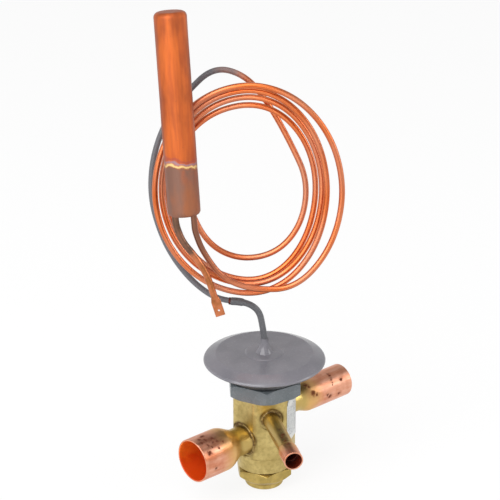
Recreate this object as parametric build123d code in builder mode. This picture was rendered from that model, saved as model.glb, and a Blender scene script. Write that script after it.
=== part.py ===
from build123d import *
import math
import os

os.makedirs("parts", exist_ok=True)

# Thermostatic expansion valve, sealed bulb type, millimetres.
# The origin is the middle of the seal cap's flat foot and Z runs up the valve's own axis.
# +X points out of the inlet, -X out of the outlet.

# ---------------------------------------------------------------- driving dimensions
# Brass body: a hexagonal bar with a turned collar below it and a threaded neck at each end.
body_flats = 31.0
body_bottom = 21.7
body_height = 36.4
turned_radius = 17.3
turned_chamfer = 1.0
collar_bottom = 12.6
collar_top_radius = 15.7
collar_bottom_radius = 14.9
lower_neck_radius = 10.2
lower_neck_length = 6.8
upper_neck_radius = 13.0
upper_neck_length = 6.5

# Ports, as angles round the axis and heights up it.
inlet_angle = 0
outlet_angle = 180
equalizer_angle = 242.5
label_angle = 300
inlet_level = 43.8
outlet_level = 32.0
equalizer_level = 46.5
port_overlap = 1.0
spot_face_depth = 0.7
spot_face_margin = 1.9
fitting_insert = 3.0
braze_width = 1.1
braze_height = 0.9
braze_hollow_radius = 1.3

# Bores inside the body.
chamber_radius = 8.0
chamber_top = 36.5
gland_bore_radius = 8.7
gland_bore_top = 16.4
inlet_chamber_radius = 4.5
inlet_chamber_top = 47.6
seat_radius = 4.0
seat_bottom = 36.0
seat_top = 39.5
seat_port_radius = 1.6
rod_radius = 1.2
rod_clearance = 0.05
rod_spacing = 12.0
equalizer_duct_radius = 1.5
duct_offset = 8.0
equalizer_bore_radius = 2.2

# Soldered fittings: socket bores are those that the pipes slide into.
socket_lip = 0.25
stop_step = 0.6
outlet_socket_radius = 11.15
outlet_socket_wall = 0.95
outlet_socket_depth = 19.0
outlet_reach = 51.9
outlet_flare_start = 21.5
outlet_flare_end = 33.0
outlet_neck_radius = 8.0
outlet_neck_wall = 1.3
inlet_socket_radius = 7.95
inlet_socket_wall = 1.2
inlet_socket_depth = 16.0
inlet_reach = 58.4
inlet_flare_start = 21.5
inlet_flare_end = 30.0
inlet_neck_radius = 6.9
inlet_neck_wall = 1.3
equalizer_socket_radius = 4.4
equalizer_socket_wall = 0.8
equalizer_socket_depth = 8.0
equalizer_reach = 62.2
equalizer_flare_start = 48.0
equalizer_flare_end = 51.0
equalizer_tube_radius = 4.6
equalizer_tube_wall = 0.9

# Power element: hexagon, two dished cases, the diaphragm between them and its plate.
element_flats = 38.1
element_height = 8.3
element_corner_angle = 231.4
element_chamfer = 1.1
element_chamfer_width = 1.9
thread_clearance = 0.05
element_hole_radius = 10.0
element_floor = 1.2
gasket_thickness = 0.6
head_radius = 33.3
rim_level = 76.5
rim_bottom = 76.0
diaphragm_thickness = 0.25
diaphragm_inset = 0.5
diaphragm_flat_radius = 13.5
diaphragm_rise = 1.1
clamp_width = 4.3
crown_level = 80.2
crown_edge_width = 6.8
nose_width = 1.3
nose_height = 1.2
case_wall = 1.5
rim_inset = 0.2
rim_lip_width = 1.6
rim_lip_height = 0.9
bowl_rim_width = 5.5
bowl_rim_height = 3.2
bowl_foot_inset = 0.6
bowl_wall = 0.8
step_radius = 10.6
step_height = 0.6
cone_base_radius = 4.8
cone_base_slope = 0.35
cone_top_wall = 0.3
cone_top = 89.0
buffer_radius = 13.0
buffer_thickness = 2.0
buffer_bevel = 0.7

# Pin assembly that the diaphragm pushes down, and the spring under it.
carrier_radius = 7.6
carrier_thickness = 2.0
carrier_top = 35.2
carrier_boss_radius = 4.2
carrier_boss_height = 1.4
pin_radius = 1.95
pin_seat_clearance = 0.05
pin_slope = 0.5
pin_tip_radius = 0.5
pin_insert = 1.2
guide_top = 24.4
guide_thickness = 2.0
guide_radius = 7.5
spring_wire_radius = 0.5
spring_mean_radius = 5.4
spring_turns = 3.5
spring_end_gap = 0.05

# Adjusting stem, its gland and seals, and the seal cap over them.
stem_radius = 3.0
stem_thread_radius = 2.8
stem_bottom = 3.9
stem_top = 28.0
stem_shoulder_radius = 4.6
stem_shoulder_height = 1.6
stem_clearance = 0.05
shoulder_clearance = 0.1
stem_slot_width = 1.2
stem_slot_depth = 1.8
gland_bottom = 6.6
gland_slot_width = 2.4
gland_slot_depth = 1.8
gland_seal_thickness = 0.6
gland_seal_inner_radius = 7.0
oring_level = 12.0
oring_section_radius = 0.85
oring_groove_height = 2.0
oring_clearance = 0.025
cap_flats = 28.6
cap_top = 12.0
cap_foot_radius = 10.7
cap_foot_height = 3.0
cap_foot_rounding = 1.6
cap_flat_angle = 204.0
cap_lower_bevel = 5.6
cap_lower_bevel_height = 5.0
cap_upper_bevel = 2.2
cap_upper_bevel_height = 1.1
cap_floor = 3.2
cap_thread_clearance = 0.1
cap_gasket_inner_radius = 10.4
cap_gasket_outer_radius = 12.6

# Sticker on one flat of the body.
label_width = 15.6
label_foot_margin = 7.8
label_top_margin = 1.6
label_thickness = 0.25
label_corner_cut = 3.2

# Stub on the head, capillary, bulb and charging tube, laid out in one leaning plane.
view_angle = -41.6
coil_lean = 10.0
coil_level = 176.0
stub_radius = 1.75
stub_insert = 4.6
stub_turn_level = 111.1
stub_reach = 18.5
stub_sideways = 4.0
stub_straight = 1.9
stub_lean_radius = 20.0
stub_bend_radius = 13.0
bell_radius = 2.15
bell_length = 6.5
capillary_radius = 1.5875
capillary_clearance = 0.03
capillary_insert = 5.0
straight_lead = 5.0
port_straight = 5.0
ring_width = 0.9
ring_bevel = 0.2
bulb_radius = 8.6
bulb_length = 107.0
bulb_wall = 1.0
bulb_insert = 2.0
bulb_bottom_rounding = 2.4
bulb_top_rounding = 4.0
bulb_depth = 15.0
bulb_foot_u = -42.1
bulb_foot_v = -10.1
bulb_tilt = 3.6
bulb_port_spread = 9.6
charging_radius = 1.8
charging_pinch_length = 3.0
charging_flat_length = 8.0
charging_flat_width = 5.2
charging_flat_thickness = 1.3
charging_hole_radius = 0.6
charging_hole_place = 5.0

# ---------------------------------------------------------------- worked out from them
body_top = body_bottom + body_height
neck_top = body_top + upper_neck_length
neck_bottom = collar_bottom - lower_neck_length
body_apothem = body_flats / 2
facet_turn = 30
element_top = body_top + element_height
diaphragm_bottom = rim_bottom - diaphragm_thickness
clamp_radius = head_radius - clamp_width
crown_radius = head_radius - crown_edge_width
nose_radius = head_radius - nose_width
nose_level = rim_level + nose_height
buffer_top = diaphragm_bottom + diaphragm_rise
rod_bottom = carrier_top
rod_top = buffer_top - buffer_thickness
carrier_bottom = carrier_top - carrier_thickness
gland_top = gland_bore_top - gland_seal_thickness
shoulder_bottom = gland_top + shoulder_clearance
shoulder_top = shoulder_bottom + stem_shoulder_height
inlet_port_start = inlet_chamber_radius - port_overlap
outlet_port_start = chamber_radius - port_overlap
inlet_neck_bore = inlet_neck_radius - inlet_neck_wall
outlet_neck_bore = outlet_neck_radius - outlet_neck_wall
outlet_socket_outer = outlet_socket_radius + outlet_socket_wall
inlet_socket_outer = inlet_socket_radius + inlet_socket_wall
equalizer_socket_outer = equalizer_socket_radius + equalizer_socket_wall
rod_places = [(0, rod_spacing / 2), (0, -rod_spacing / 2)]
label_height = body_height - label_foot_margin - label_top_margin
label_middle = body_bottom + label_foot_margin + label_height / 2


def outward(angle):
    """Unit vector that points away from the axis at an angle round it."""
    return Vector(math.cos(math.radians(angle)), math.sin(math.radians(angle)), 0)


def port_plane(angle, level):
    """Sketch plane with its x along a port's axis, away from the body, and its y up."""
    along = outward(angle)
    return Plane(origin=(0, 0, level), x_dir=along, z_dir=along.cross(Vector(0, 0, 1)))


def port_axis(angle, level):
    """Axis of a port at a height up the valve."""
    return Axis(origin=(0, 0, level), direction=outward(angle))


def facing_plane(angle, level, distance):
    """Plane square to a port's axis, at a distance from the valve's axis."""
    along = outward(angle)
    return Plane(origin=along * distance + Vector(0, 0, level), x_dir=(0, 0, 1), z_dir=along)


coil_right = outward(view_angle)
coil_front = outward(view_angle - 90)
lean_cos = math.cos(math.radians(coil_lean))
lean_sin = math.sin(math.radians(coil_lean))
coil_normal = coil_front * lean_cos + Vector(0, 0, lean_sin)
coil_plane = Plane(origin=(0, 0, coil_level), x_dir=coil_right, z_dir=coil_normal)
stub_plane = Plane(origin=(0, 0, 0), x_dir=coil_right, z_dir=coil_front)


def in_coil(u, v, depth):
    """World point from places across, up and out of the leaning plane of the coil."""
    return coil_plane.from_local_coords(Vector(u, v, depth))


def bend_radii(points, share=0.45):
    """One radius for each corner, as large as its two runs allow."""
    radii = []
    for before, corner, after in zip(points, points[1:], points[2:]):
        first = corner - before
        second = after - corner
        half_turn = math.radians(first.get_angle(second)) / 2
        shorter = min(first.length, second.length)
        radii.append(share * shorter / math.tan(half_turn))
    return radii


# ---------------------------------------------------------------- valve body
with BuildPart() as valve_body:
    with BuildSketch(Plane.XY.offset(body_bottom)):
        RegularPolygon(radius=body_apothem, side_count=6, major_radius=False, rotation=facet_turn)
    extrude(amount=body_height)
    # the bar's corners are turned off and both its ends are bevelled
    with BuildSketch(Plane.XZ):
        with BuildLine():
            Polyline(
                (0, body_bottom),
                (turned_radius - turned_chamfer, body_bottom),
                (turned_radius, body_bottom + turned_chamfer),
                (turned_radius, body_top - turned_chamfer),
                (turned_radius - turned_chamfer, body_top),
                (0, body_top),
                close=True,
            )
        make_face()
    revolve(axis=Axis.Z, mode=Mode.INTERSECT)
    # collar and lower neck, which carries the seal cap's thread
    with BuildSketch(Plane.XZ):
        with BuildLine():
            Polyline(
                (0, neck_bottom),
                (lower_neck_radius, neck_bottom),
                (lower_neck_radius, collar_bottom),
                (collar_bottom_radius, collar_bottom),
                (collar_top_radius, body_bottom),
                (0, body_bottom),
                close=True,
            )
        make_face()
    revolve(axis=Axis.Z)
    # upper neck, which carries the power element's thread
    with BuildSketch(Plane.XY.offset(body_top)):
        Circle(upper_neck_radius)
    extrude(amount=upper_neck_length)
    # spring chamber with the gland's wider bore under it
    with BuildSketch(Plane.XY.offset(neck_bottom)):
        Circle(gland_bore_radius)
    extrude(amount=gland_bore_top - neck_bottom, mode=Mode.SUBTRACT)
    with BuildSketch(Plane.XY.offset(gland_bore_top)):
        Circle(chamber_radius)
    extrude(amount=chamber_top - gland_bore_top, mode=Mode.SUBTRACT)
    # seat bore and the inlet chamber above it
    with BuildSketch(Plane.XY.offset(chamber_top)):
        Circle(seat_radius)
    extrude(amount=seat_top - chamber_top, mode=Mode.SUBTRACT)
    with BuildSketch(Plane.XY.offset(seat_top)):
        Circle(inlet_chamber_radius)
    extrude(amount=inlet_chamber_top - seat_top, mode=Mode.SUBTRACT)
    # holes for the two push rods, from the spring chamber up to the diaphragm
    with BuildSketch(Plane.XY.offset(chamber_top)):
        with Locations(*rod_places):
            Circle(rod_radius + rod_clearance)
    extrude(amount=neck_top - chamber_top, mode=Mode.SUBTRACT)
    # side ports: passage, seat for the fitting's end and spot face round it
    for angle, level, start, passage, neck in (
        (inlet_angle, inlet_level, inlet_port_start, inlet_neck_bore, inlet_neck_radius),
        (outlet_angle, outlet_level, outlet_port_start, outlet_neck_bore, outlet_neck_radius),
        (equalizer_angle, equalizer_level, duct_offset, equalizer_bore_radius, equalizer_tube_radius),
    ):
        with BuildSketch(facing_plane(angle, level, start)):
            Circle(passage)
        extrude(amount=body_apothem - start, mode=Mode.SUBTRACT)
        with BuildSketch(facing_plane(angle, level, body_apothem - fitting_insert)):
            Circle(neck)
        extrude(amount=fitting_insert, mode=Mode.SUBTRACT)
        with BuildSketch(facing_plane(angle, level, body_apothem - spot_face_depth)):
            Circle(neck + spot_face_margin)
        extrude(amount=spot_face_depth + turned_chamfer, mode=Mode.SUBTRACT)
    # duct from the equalizer port up to the underside of the diaphragm
    duct_middle = outward(equalizer_angle) * duct_offset
    with BuildSketch(Plane.XY.offset(equalizer_level)):
        with Locations((duct_middle.X, duct_middle.Y)):
            Circle(equalizer_duct_radius)
    extrude(amount=neck_top - equalizer_level, mode=Mode.SUBTRACT)
valve_body.part.label = "valve_body"
export_step(valve_body.part, "parts/valve_body.step")


# ---------------------------------------------------------------- soldered fittings
def fitting_sketch(neck_radius, neck_wall, flare_start, flare_end, reach, outer, bore, depth):
    """Half section of a tube that widens from a neck into a pipe socket."""
    root = body_apothem - fitting_insert
    stop = reach - depth
    with BuildSketch(mode=Mode.PRIVATE) as section:
        with BuildLine():
            Line((root, neck_radius - neck_wall), (root, neck_radius))
            Line((root, neck_radius), (flare_start, neck_radius))
            Spline((flare_start, neck_radius), (flare_end, outer), tangents=((1, 0), (1, 0)))
            Polyline(
                (flare_end, outer),
                (reach - socket_lip, outer),
                (reach, outer - socket_lip),
                (reach, bore + socket_lip),
                (reach - socket_lip, bore),
                (stop, bore),
                (stop, bore - stop_step),
            )
            Spline(
                (stop, bore - stop_step),
                (flare_start, neck_radius - neck_wall),
                tangents=((-1, 0), (-1, 0)),
            )
            Line((flare_start, neck_radius - neck_wall), (root, neck_radius - neck_wall))
        make_face()
    return section.sketch


with BuildPart() as outlet_fitting:
    with BuildSketch(port_plane(outlet_angle, outlet_level)):
        add(fitting_sketch(outlet_neck_radius, outlet_neck_wall, outlet_flare_start, outlet_flare_end,
                           outlet_reach, outlet_socket_outer, outlet_socket_radius, outlet_socket_depth))
    revolve(axis=port_axis(outlet_angle, outlet_level))
outlet_fitting.part.label = "outlet_fitting"
export_step(outlet_fitting.part, "parts/outlet_fitting.step")

with BuildPart() as inlet_fitting:
    with BuildSketch(port_plane(inlet_angle, inlet_level)):
        add(fitting_sketch(inlet_neck_radius, inlet_neck_wall, inlet_flare_start, inlet_flare_end,
                           inlet_reach, inlet_socket_outer, inlet_socket_radius, inlet_socket_depth))
    revolve(axis=port_axis(inlet_angle, inlet_level))
inlet_fitting.part.label = "inlet_fitting"
export_step(inlet_fitting.part, "parts/inlet_fitting.step")

with BuildPart() as equalizer_fitting:
    with BuildSketch(port_plane(equalizer_angle, equalizer_level)):
        add(fitting_sketch(equalizer_tube_radius, equalizer_tube_wall, equalizer_flare_start,
                           equalizer_flare_end, equalizer_reach, equalizer_socket_outer,
                           equalizer_socket_radius, equalizer_socket_depth))
    revolve(axis=port_axis(equalizer_angle, equalizer_level))
equalizer_fitting.part.label = "equalizer_fitting"
export_step(equalizer_fitting.part, "parts/equalizer_fitting.step")

# silver-solder fillets that close the joints at the bottom of the spot faces
for name, angle, level, neck in (
    ("outlet_braze", outlet_angle, outlet_level, outlet_neck_radius),
    ("inlet_braze", inlet_angle, inlet_level, inlet_neck_radius),
    ("equalizer_braze", equalizer_angle, equalizer_level, equalizer_tube_radius),
):
    floor = body_apothem - spot_face_depth
    with BuildPart() as braze:
        with BuildSketch(port_plane(angle, level)):
            with BuildLine():
                Polyline((floor + braze_height, neck), (floor, neck), (floor, neck + braze_width))
                RadiusArc((floor, neck + braze_width), (floor + braze_height, neck), braze_hollow_radius)
            make_face()
        revolve(axis=port_axis(angle, level))
    braze.part.label = name
    export_step(braze.part, "parts/" + name + ".step")

# ---------------------------------------------------------------- seat and pin assembly
with BuildPart() as valve_seat:
    with BuildSketch(Plane.XY.offset(seat_bottom)):
        Circle(seat_radius)
        Circle(seat_port_radius, mode=Mode.SUBTRACT)
    extrude(amount=seat_top - seat_bottom)
valve_seat.part.label = "valve_seat"
export_step(valve_seat.part, "parts/valve_seat.step")

with BuildPart() as buffer_plate:
    with BuildSketch(Plane.XY.offset(rod_top)):
        Circle(buffer_radius)
    extrude(amount=buffer_thickness)
    chamfer(buffer_plate.edges().group_by(Axis.Z)[0], length=buffer_bevel)
buffer_plate.part.label = "buffer_plate"
export_step(buffer_plate.part, "parts/buffer_plate.step")

with BuildPart() as push_rods:
    with BuildSketch(Plane.XY.offset(rod_bottom)):
        with Locations(*rod_places):
            Circle(rod_radius)
    extrude(amount=rod_top - rod_bottom)
push_rods.part.label = "push_rods"
export_step(push_rods.part, "parts/push_rods.step")

with BuildPart() as pin_carrier:
    with BuildSketch(Plane.XY.offset(carrier_bottom)):
        Circle(carrier_radius)
    extrude(amount=carrier_thickness)
    with BuildSketch(Plane.XY.offset(carrier_bottom)):
        Circle(carrier_boss_radius)
    extrude(amount=-carrier_boss_height)
    with BuildSketch(Plane.XY.offset(carrier_top)):
        Circle(pin_radius)
    extrude(amount=-pin_insert, mode=Mode.SUBTRACT)
pin_carrier.part.label = "pin_carrier"
export_step(pin_carrier.part, "parts/pin_carrier.step")

# the cone stays a hair under the port's edge when the valve is shut
cone_at_seat = seat_port_radius - pin_seat_clearance
cone_start = seat_bottom - (pin_radius - cone_at_seat) / pin_slope
cone_end = seat_bottom + (cone_at_seat - pin_tip_radius) / pin_slope
with BuildPart() as valve_pin:
    with BuildSketch(Plane.XZ):
        with BuildLine():
            Polyline(
                (0, carrier_top - pin_insert),
                (pin_radius, carrier_top - pin_insert),
                (pin_radius, cone_start),
                (pin_tip_radius, cone_end),
                (0, cone_end),
                close=True,
            )
        make_face()
    revolve(axis=Axis.Z)
valve_pin.part.label = "valve_pin"
export_step(valve_pin.part, "parts/valve_pin.step")

spring_bottom = guide_top + spring_wire_radius + spring_end_gap
spring_height = carrier_bottom - guide_top - 2 * (spring_wire_radius + spring_end_gap)
with BuildPart() as superheat_spring:
    with BuildLine(Plane.XY.offset(spring_bottom)):
        spring_line = Helix(spring_height / spring_turns, spring_height, spring_mean_radius)
    with BuildSketch(Plane(origin=spring_line @ 0, z_dir=spring_line % 0)):
        Circle(spring_wire_radius)
    sweep(path=spring_line, is_frenet=True)
superheat_spring.part.label = "superheat_spring"
export_step(superheat_spring.part, "parts/superheat_spring.step")

with BuildPart() as spring_guide:
    with BuildSketch(Plane.XY.offset(guide_top - guide_thickness)):
        Circle(guide_radius)
    extrude(amount=guide_thickness)
    with BuildSketch(Plane.XY.offset(guide_top)):
        Circle(carrier_boss_radius)
    extrude(amount=carrier_boss_height)
    with BuildSketch(Plane.XY.offset(guide_top - guide_thickness)):
        Circle(stem_thread_radius + thread_clearance)
    extrude(amount=guide_thickness + carrier_boss_height, mode=Mode.SUBTRACT)
spring_guide.part.label = "spring_guide"
export_step(spring_guide.part, "parts/spring_guide.step")

# ---------------------------------------------------------------- adjusting stem and its gland
with BuildPart() as adjusting_stem:
    with BuildSketch(Plane.XZ):
        with BuildLine():
            Polyline(
                (0, stem_bottom),
                (stem_radius, stem_bottom),
                (stem_radius, shoulder_bottom),
                (stem_shoulder_radius, shoulder_bottom),
                (stem_shoulder_radius, shoulder_top),
                (stem_thread_radius, shoulder_top),
                (stem_thread_radius, stem_top),
                (0, stem_top),
                close=True,
            )
        make_face()
    revolve(axis=Axis.Z)
    with BuildSketch(Plane.XY.offset(stem_bottom)):
        Rectangle(stem_radius * 2, stem_slot_width)
    extrude(amount=stem_slot_depth, mode=Mode.SUBTRACT)
adjusting_stem.part.label = "adjusting_stem"
export_step(adjusting_stem.part, "parts/adjusting_stem.step")

oring_ring_radius = stem_radius + stem_clearance + oring_section_radius
with BuildPart() as stem_gland:
    with BuildSketch(Plane.XY.offset(gland_bottom)):
        Circle(gland_bore_radius - thread_clearance)
        Circle(stem_radius + stem_clearance, mode=Mode.SUBTRACT)
    extrude(amount=gland_top - gland_bottom)
    # groove that holds the stem's ring seal
    with BuildSketch(Plane.XY.offset(oring_level - oring_groove_height / 2)):
        Circle(oring_ring_radius + oring_section_radius)
    extrude(amount=oring_groove_height, mode=Mode.SUBTRACT)
    # driver slot across its lower face
    with BuildSketch(Plane.XY.offset(gland_bottom)):
        Rectangle(gland_bore_radius * 2, gland_slot_width)
    extrude(amount=gland_slot_depth, mode=Mode.SUBTRACT)
stem_gland.part.label = "stem_gland"
export_step(stem_gland.part, "parts/stem_gland.step")

with BuildPart() as stem_seal:
    with BuildSketch(Plane.XZ):
        with Locations((oring_ring_radius, oring_level)):
            Circle(oring_section_radius - oring_clearance)
    revolve(axis=Axis.Z)
stem_seal.part.label = "stem_seal"
export_step(stem_seal.part, "parts/stem_seal.step")

with BuildPart() as gland_seal:
    with BuildSketch(Plane.XY.offset(gland_top)):
        Circle(gland_bore_radius - thread_clearance)
        Circle(gland_seal_inner_radius, mode=Mode.SUBTRACT)
    extrude(amount=gland_seal_thickness)
gland_seal.part.label = "gland_seal"
export_step(gland_seal.part, "parts/gland_seal.step")

# ---------------------------------------------------------------- seal cap
cap_corner_radius = cap_flats / 2 / math.cos(math.radians(facet_turn))
cap_bore_radius = lower_neck_radius + cap_thread_clearance
with BuildPart() as seal_cap:
    with BuildSketch(Plane.XY.offset(cap_foot_height)):
        RegularPolygon(
            radius=cap_flats / 2, side_count=6, major_radius=False, rotation=cap_flat_angle + facet_turn
        )
    extrude(amount=cap_top - cap_foot_height)
    # the corners are bevelled at both ends, and less steeply below
    with BuildSketch(Plane.XZ):
        with BuildLine():
            Polyline(
                (0, cap_foot_height),
                (cap_corner_radius - cap_lower_bevel, cap_foot_height),
                (cap_corner_radius, cap_foot_height + cap_lower_bevel_height),
                (cap_corner_radius, cap_top - cap_upper_bevel_height),
                (cap_corner_radius - cap_upper_bevel, cap_top),
                (0, cap_top),
                close=True,
            )
        make_face()
    revolve(axis=Axis.Z, mode=Mode.INTERSECT)
    with BuildSketch(Plane.XY):
        Circle(cap_foot_radius)
    extrude(amount=cap_foot_height)
    fillet(seal_cap.edges().group_by(Axis.Z)[0], radius=cap_foot_rounding)
    with BuildSketch(Plane.XY.offset(cap_floor)):
        Circle(cap_bore_radius)
    extrude(amount=cap_top - cap_floor, mode=Mode.SUBTRACT)
seal_cap.part.label = "seal_cap"
export_step(seal_cap.part, "parts/seal_cap.step")

with BuildPart() as seal_cap_gasket:
    with BuildSketch(Plane.XY.offset(cap_top)):
        Circle(cap_gasket_outer_radius)
        Circle(cap_gasket_inner_radius, mode=Mode.SUBTRACT)
    extrude(amount=collar_bottom - cap_top)
seal_cap_gasket.part.label = "seal_cap_gasket"
export_step(seal_cap_gasket.part, "parts/seal_cap_gasket.step")

# ---------------------------------------------------------------- power element
element_corner_radius = element_flats / 2 / math.cos(math.radians(facet_turn))
with BuildPart() as element_hex:
    with BuildSketch(Plane.XY.offset(body_top)):
        RegularPolygon(
            radius=element_flats / 2, side_count=6, major_radius=False, rotation=element_corner_angle
        )
    extrude(amount=element_height)
    with BuildSketch(Plane.XZ):
        with BuildLine():
            Polyline(
                (0, body_top),
                (element_corner_radius - element_chamfer_width, body_top),
                (element_corner_radius, body_top + element_chamfer),
                (element_corner_radius, element_top - element_chamfer),
                (element_corner_radius - element_chamfer_width, element_top),
                (0, element_top),
                close=True,
            )
        make_face()
    revolve(axis=Axis.Z, mode=Mode.INTERSECT)
    with BuildSketch(Plane.XY.offset(body_top)):
        Circle(upper_neck_radius + thread_clearance)
    extrude(amount=element_height - element_floor, mode=Mode.SUBTRACT)
    with BuildSketch(Plane.XY.offset(element_top)):
        Circle(element_hole_radius)
    extrude(amount=-element_floor, mode=Mode.SUBTRACT)
element_hex.part.label = "element_hex"
export_step(element_hex.part, "parts/element_hex.step")

with BuildPart() as element_gasket:
    with BuildSketch(Plane.XY.offset(neck_top)):
        Circle(upper_neck_radius)
        Circle(element_hole_radius, mode=Mode.SUBTRACT)
    extrude(amount=gasket_thickness)
element_gasket.part.label = "element_gasket"
export_step(element_gasket.part, "parts/element_gasket.step")

# lower case: a shallow bowl that rises from the hexagon to the clamped rim
bowl_foot_radius = element_flats / 2 - bowl_foot_inset
with BuildPart() as lower_case:
    with BuildSketch(Plane.XZ):
        with BuildLine():
            Polyline(
                (element_hole_radius, element_top),
                (bowl_foot_radius, element_top),
                (head_radius - bowl_rim_width, rim_bottom - bowl_rim_height),
                (head_radius - rim_lip_width, diaphragm_bottom - rim_lip_height),
                (head_radius - rim_inset, diaphragm_bottom),
                (clamp_radius, diaphragm_bottom),
                (clamp_radius - bowl_wall, diaphragm_bottom - rim_lip_height),
                (bowl_foot_radius - bowl_wall, element_top + case_wall),
                (element_hole_radius, element_top + case_wall),
                close=True,
            )
        make_face()
    revolve(axis=Axis.Z)
lower_case.part.label = "lower_case"
export_step(lower_case.part, "parts/lower_case.step")

with BuildPart() as diaphragm:
    with BuildSketch(Plane.XZ):
        with BuildLine():
            Line((0, buffer_top), (diaphragm_flat_radius, buffer_top))
            Spline(
                (diaphragm_flat_radius, buffer_top),
                (clamp_radius, diaphragm_bottom),
                tangents=((1, 0), (1, 0)),
            )
            Polyline(
                (clamp_radius, diaphragm_bottom),
                (head_radius - diaphragm_inset, diaphragm_bottom),
                (head_radius - diaphragm_inset, rim_bottom),
                (clamp_radius, rim_bottom),
            )
            Spline(
                (clamp_radius, rim_bottom),
                (diaphragm_flat_radius, buffer_top + diaphragm_thickness),
                tangents=((-1, 0), (-1, 0)),
            )
            Polyline(
                (diaphragm_flat_radius, buffer_top + diaphragm_thickness),
                (0, buffer_top + diaphragm_thickness),
                (0, buffer_top),
            )
        make_face()
    revolve(axis=Axis.Z)
diaphragm.part.label = "diaphragm"
export_step(diaphragm.part, "parts/diaphragm.step")

# upper case: crown with a low step and a cone in its middle, sloped down to a rounded rim
ceiling = crown_level - case_wall
with BuildPart() as upper_case:
    with BuildSketch(Plane.XZ):
        with BuildLine():
            Spline(
                (stub_radius + cone_top_wall, cone_top),
                (cone_base_radius, crown_level + step_height),
                tangents=((0, -1), (1, -cone_base_slope)),
            )
            Polyline(
                (cone_base_radius, crown_level + step_height),
                (step_radius - step_height, crown_level + step_height),
                (step_radius, crown_level),
                (crown_radius, crown_level),
                (nose_radius, nose_level),
            )
            TangentArc(
                (nose_radius, nose_level),
                (head_radius, rim_level),
                tangent=(nose_radius - crown_radius, nose_level - crown_level),
            )
            Polyline(
                (head_radius, rim_level),
                (head_radius, rim_bottom),
                (clamp_radius, rim_bottom),
            )
            Spline(
                (clamp_radius, rim_bottom),
                (crown_radius - case_wall, ceiling),
                tangents=((0, 1), (-1, 0)),
            )
            Polyline(
                (crown_radius - case_wall, ceiling),
                (stub_radius + case_wall, ceiling),
                (stub_radius, ceiling + case_wall),
                (stub_radius, cone_top),
                (stub_radius + cone_top_wall, cone_top),
            )
        make_face()
    revolve(axis=Axis.Z)
upper_case.part.label = "upper_case"
export_step(upper_case.part, "parts/upper_case.step")

# ---------------------------------------------------------------- sticker
label_plane = facing_plane(label_angle, label_middle, body_apothem)
with BuildPart() as body_label:
    with BuildSketch(label_plane):
        with BuildLine():
            Polyline(
                (-label_height / 2, -label_width / 2),
                (-label_height / 2, label_width / 2),
                (label_height / 2 - label_corner_cut, label_width / 2),
                (label_height / 2, label_width / 2 - label_corner_cut),
                (label_height / 2, -label_width / 2),
                close=True,
            )
        make_face()
    extrude(amount=label_thickness)
body_label.part.label = "body_label"
export_step(body_label.part, "parts/body_label.step")

# ---------------------------------------------------------------- stub on the head
stub_points = [
    (0, cone_top - stub_insert),
    (0, cone_top + stub_straight),
    (-stub_sideways, stub_turn_level),
    (-stub_reach, stub_turn_level),
]
with BuildPart() as capillary_stub:
    with BuildLine(stub_plane):
        stub_line = FilletPolyline(*stub_points, radius=[stub_lean_radius, stub_bend_radius])
    with BuildSketch(Plane(origin=stub_line @ 0, z_dir=stub_line % 0)):
        Circle(stub_radius)
    sweep(path=stub_line)
    stub_mouth = Plane(origin=stub_line @ 1, z_dir=coil_right)
    # bell that takes the capillary's end
    with BuildSketch(stub_mouth):
        Circle(bell_radius)
    extrude(amount=bell_length)
    with BuildSketch(stub_mouth):
        Circle(capillary_radius + capillary_clearance)
    extrude(amount=capillary_insert, mode=Mode.SUBTRACT)
capillary_stub.part.label = "capillary_stub"
export_step(capillary_stub.part, "parts/capillary_stub.step")

with BuildPart() as capillary_braze:
    with BuildSketch(Plane(origin=stub_mouth.origin, z_dir=-coil_right)):
        Circle(bell_radius - capillary_clearance)
        Circle(capillary_radius + capillary_clearance, mode=Mode.SUBTRACT)
    extrude(amount=ring_width)
    ring_edges = capillary_braze.edges().group_by(Axis(stub_mouth.origin, coil_right))[0]
    chamfer(ring_edges.sort_by(SortBy.RADIUS)[-1], length=ring_bevel)
capillary_braze.part.label = "capillary_braze"
export_step(capillary_braze.part, "parts/capillary_braze.step")

# ---------------------------------------------------------------- bulb
bulb_cos = math.cos(math.radians(bulb_tilt))
bulb_sin = math.sin(math.radians(bulb_tilt))
bulb_foot = in_coil(bulb_foot_u, bulb_foot_v, bulb_depth)
bulb_along = in_coil(bulb_foot_u - bulb_sin, bulb_foot_v + bulb_cos, bulb_depth) - bulb_foot
bulb_across = in_coil(bulb_foot_u + bulb_cos, bulb_foot_v + bulb_sin, bulb_depth) - bulb_foot
bulb_plane = Plane(origin=bulb_foot, x_dir=bulb_across, z_dir=bulb_along)
capillary_hole = (bulb_port_spread / 2, 0)
charging_hole = (-bulb_port_spread / 2, 0)
with BuildPart() as bulb_hollow:
    with BuildSketch(bulb_plane.offset(bulb_wall)):
        Circle(bulb_radius - bulb_wall)
    extrude(amount=bulb_length - 2 * bulb_wall)
    hollow_ends = bulb_hollow.edges().filter_by(GeomType.CIRCLE).sort_by(Axis.Z)
    fillet(hollow_ends[0], radius=bulb_bottom_rounding - bulb_wall)
    fillet(hollow_ends[-1], radius=bulb_top_rounding - bulb_wall)
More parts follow.
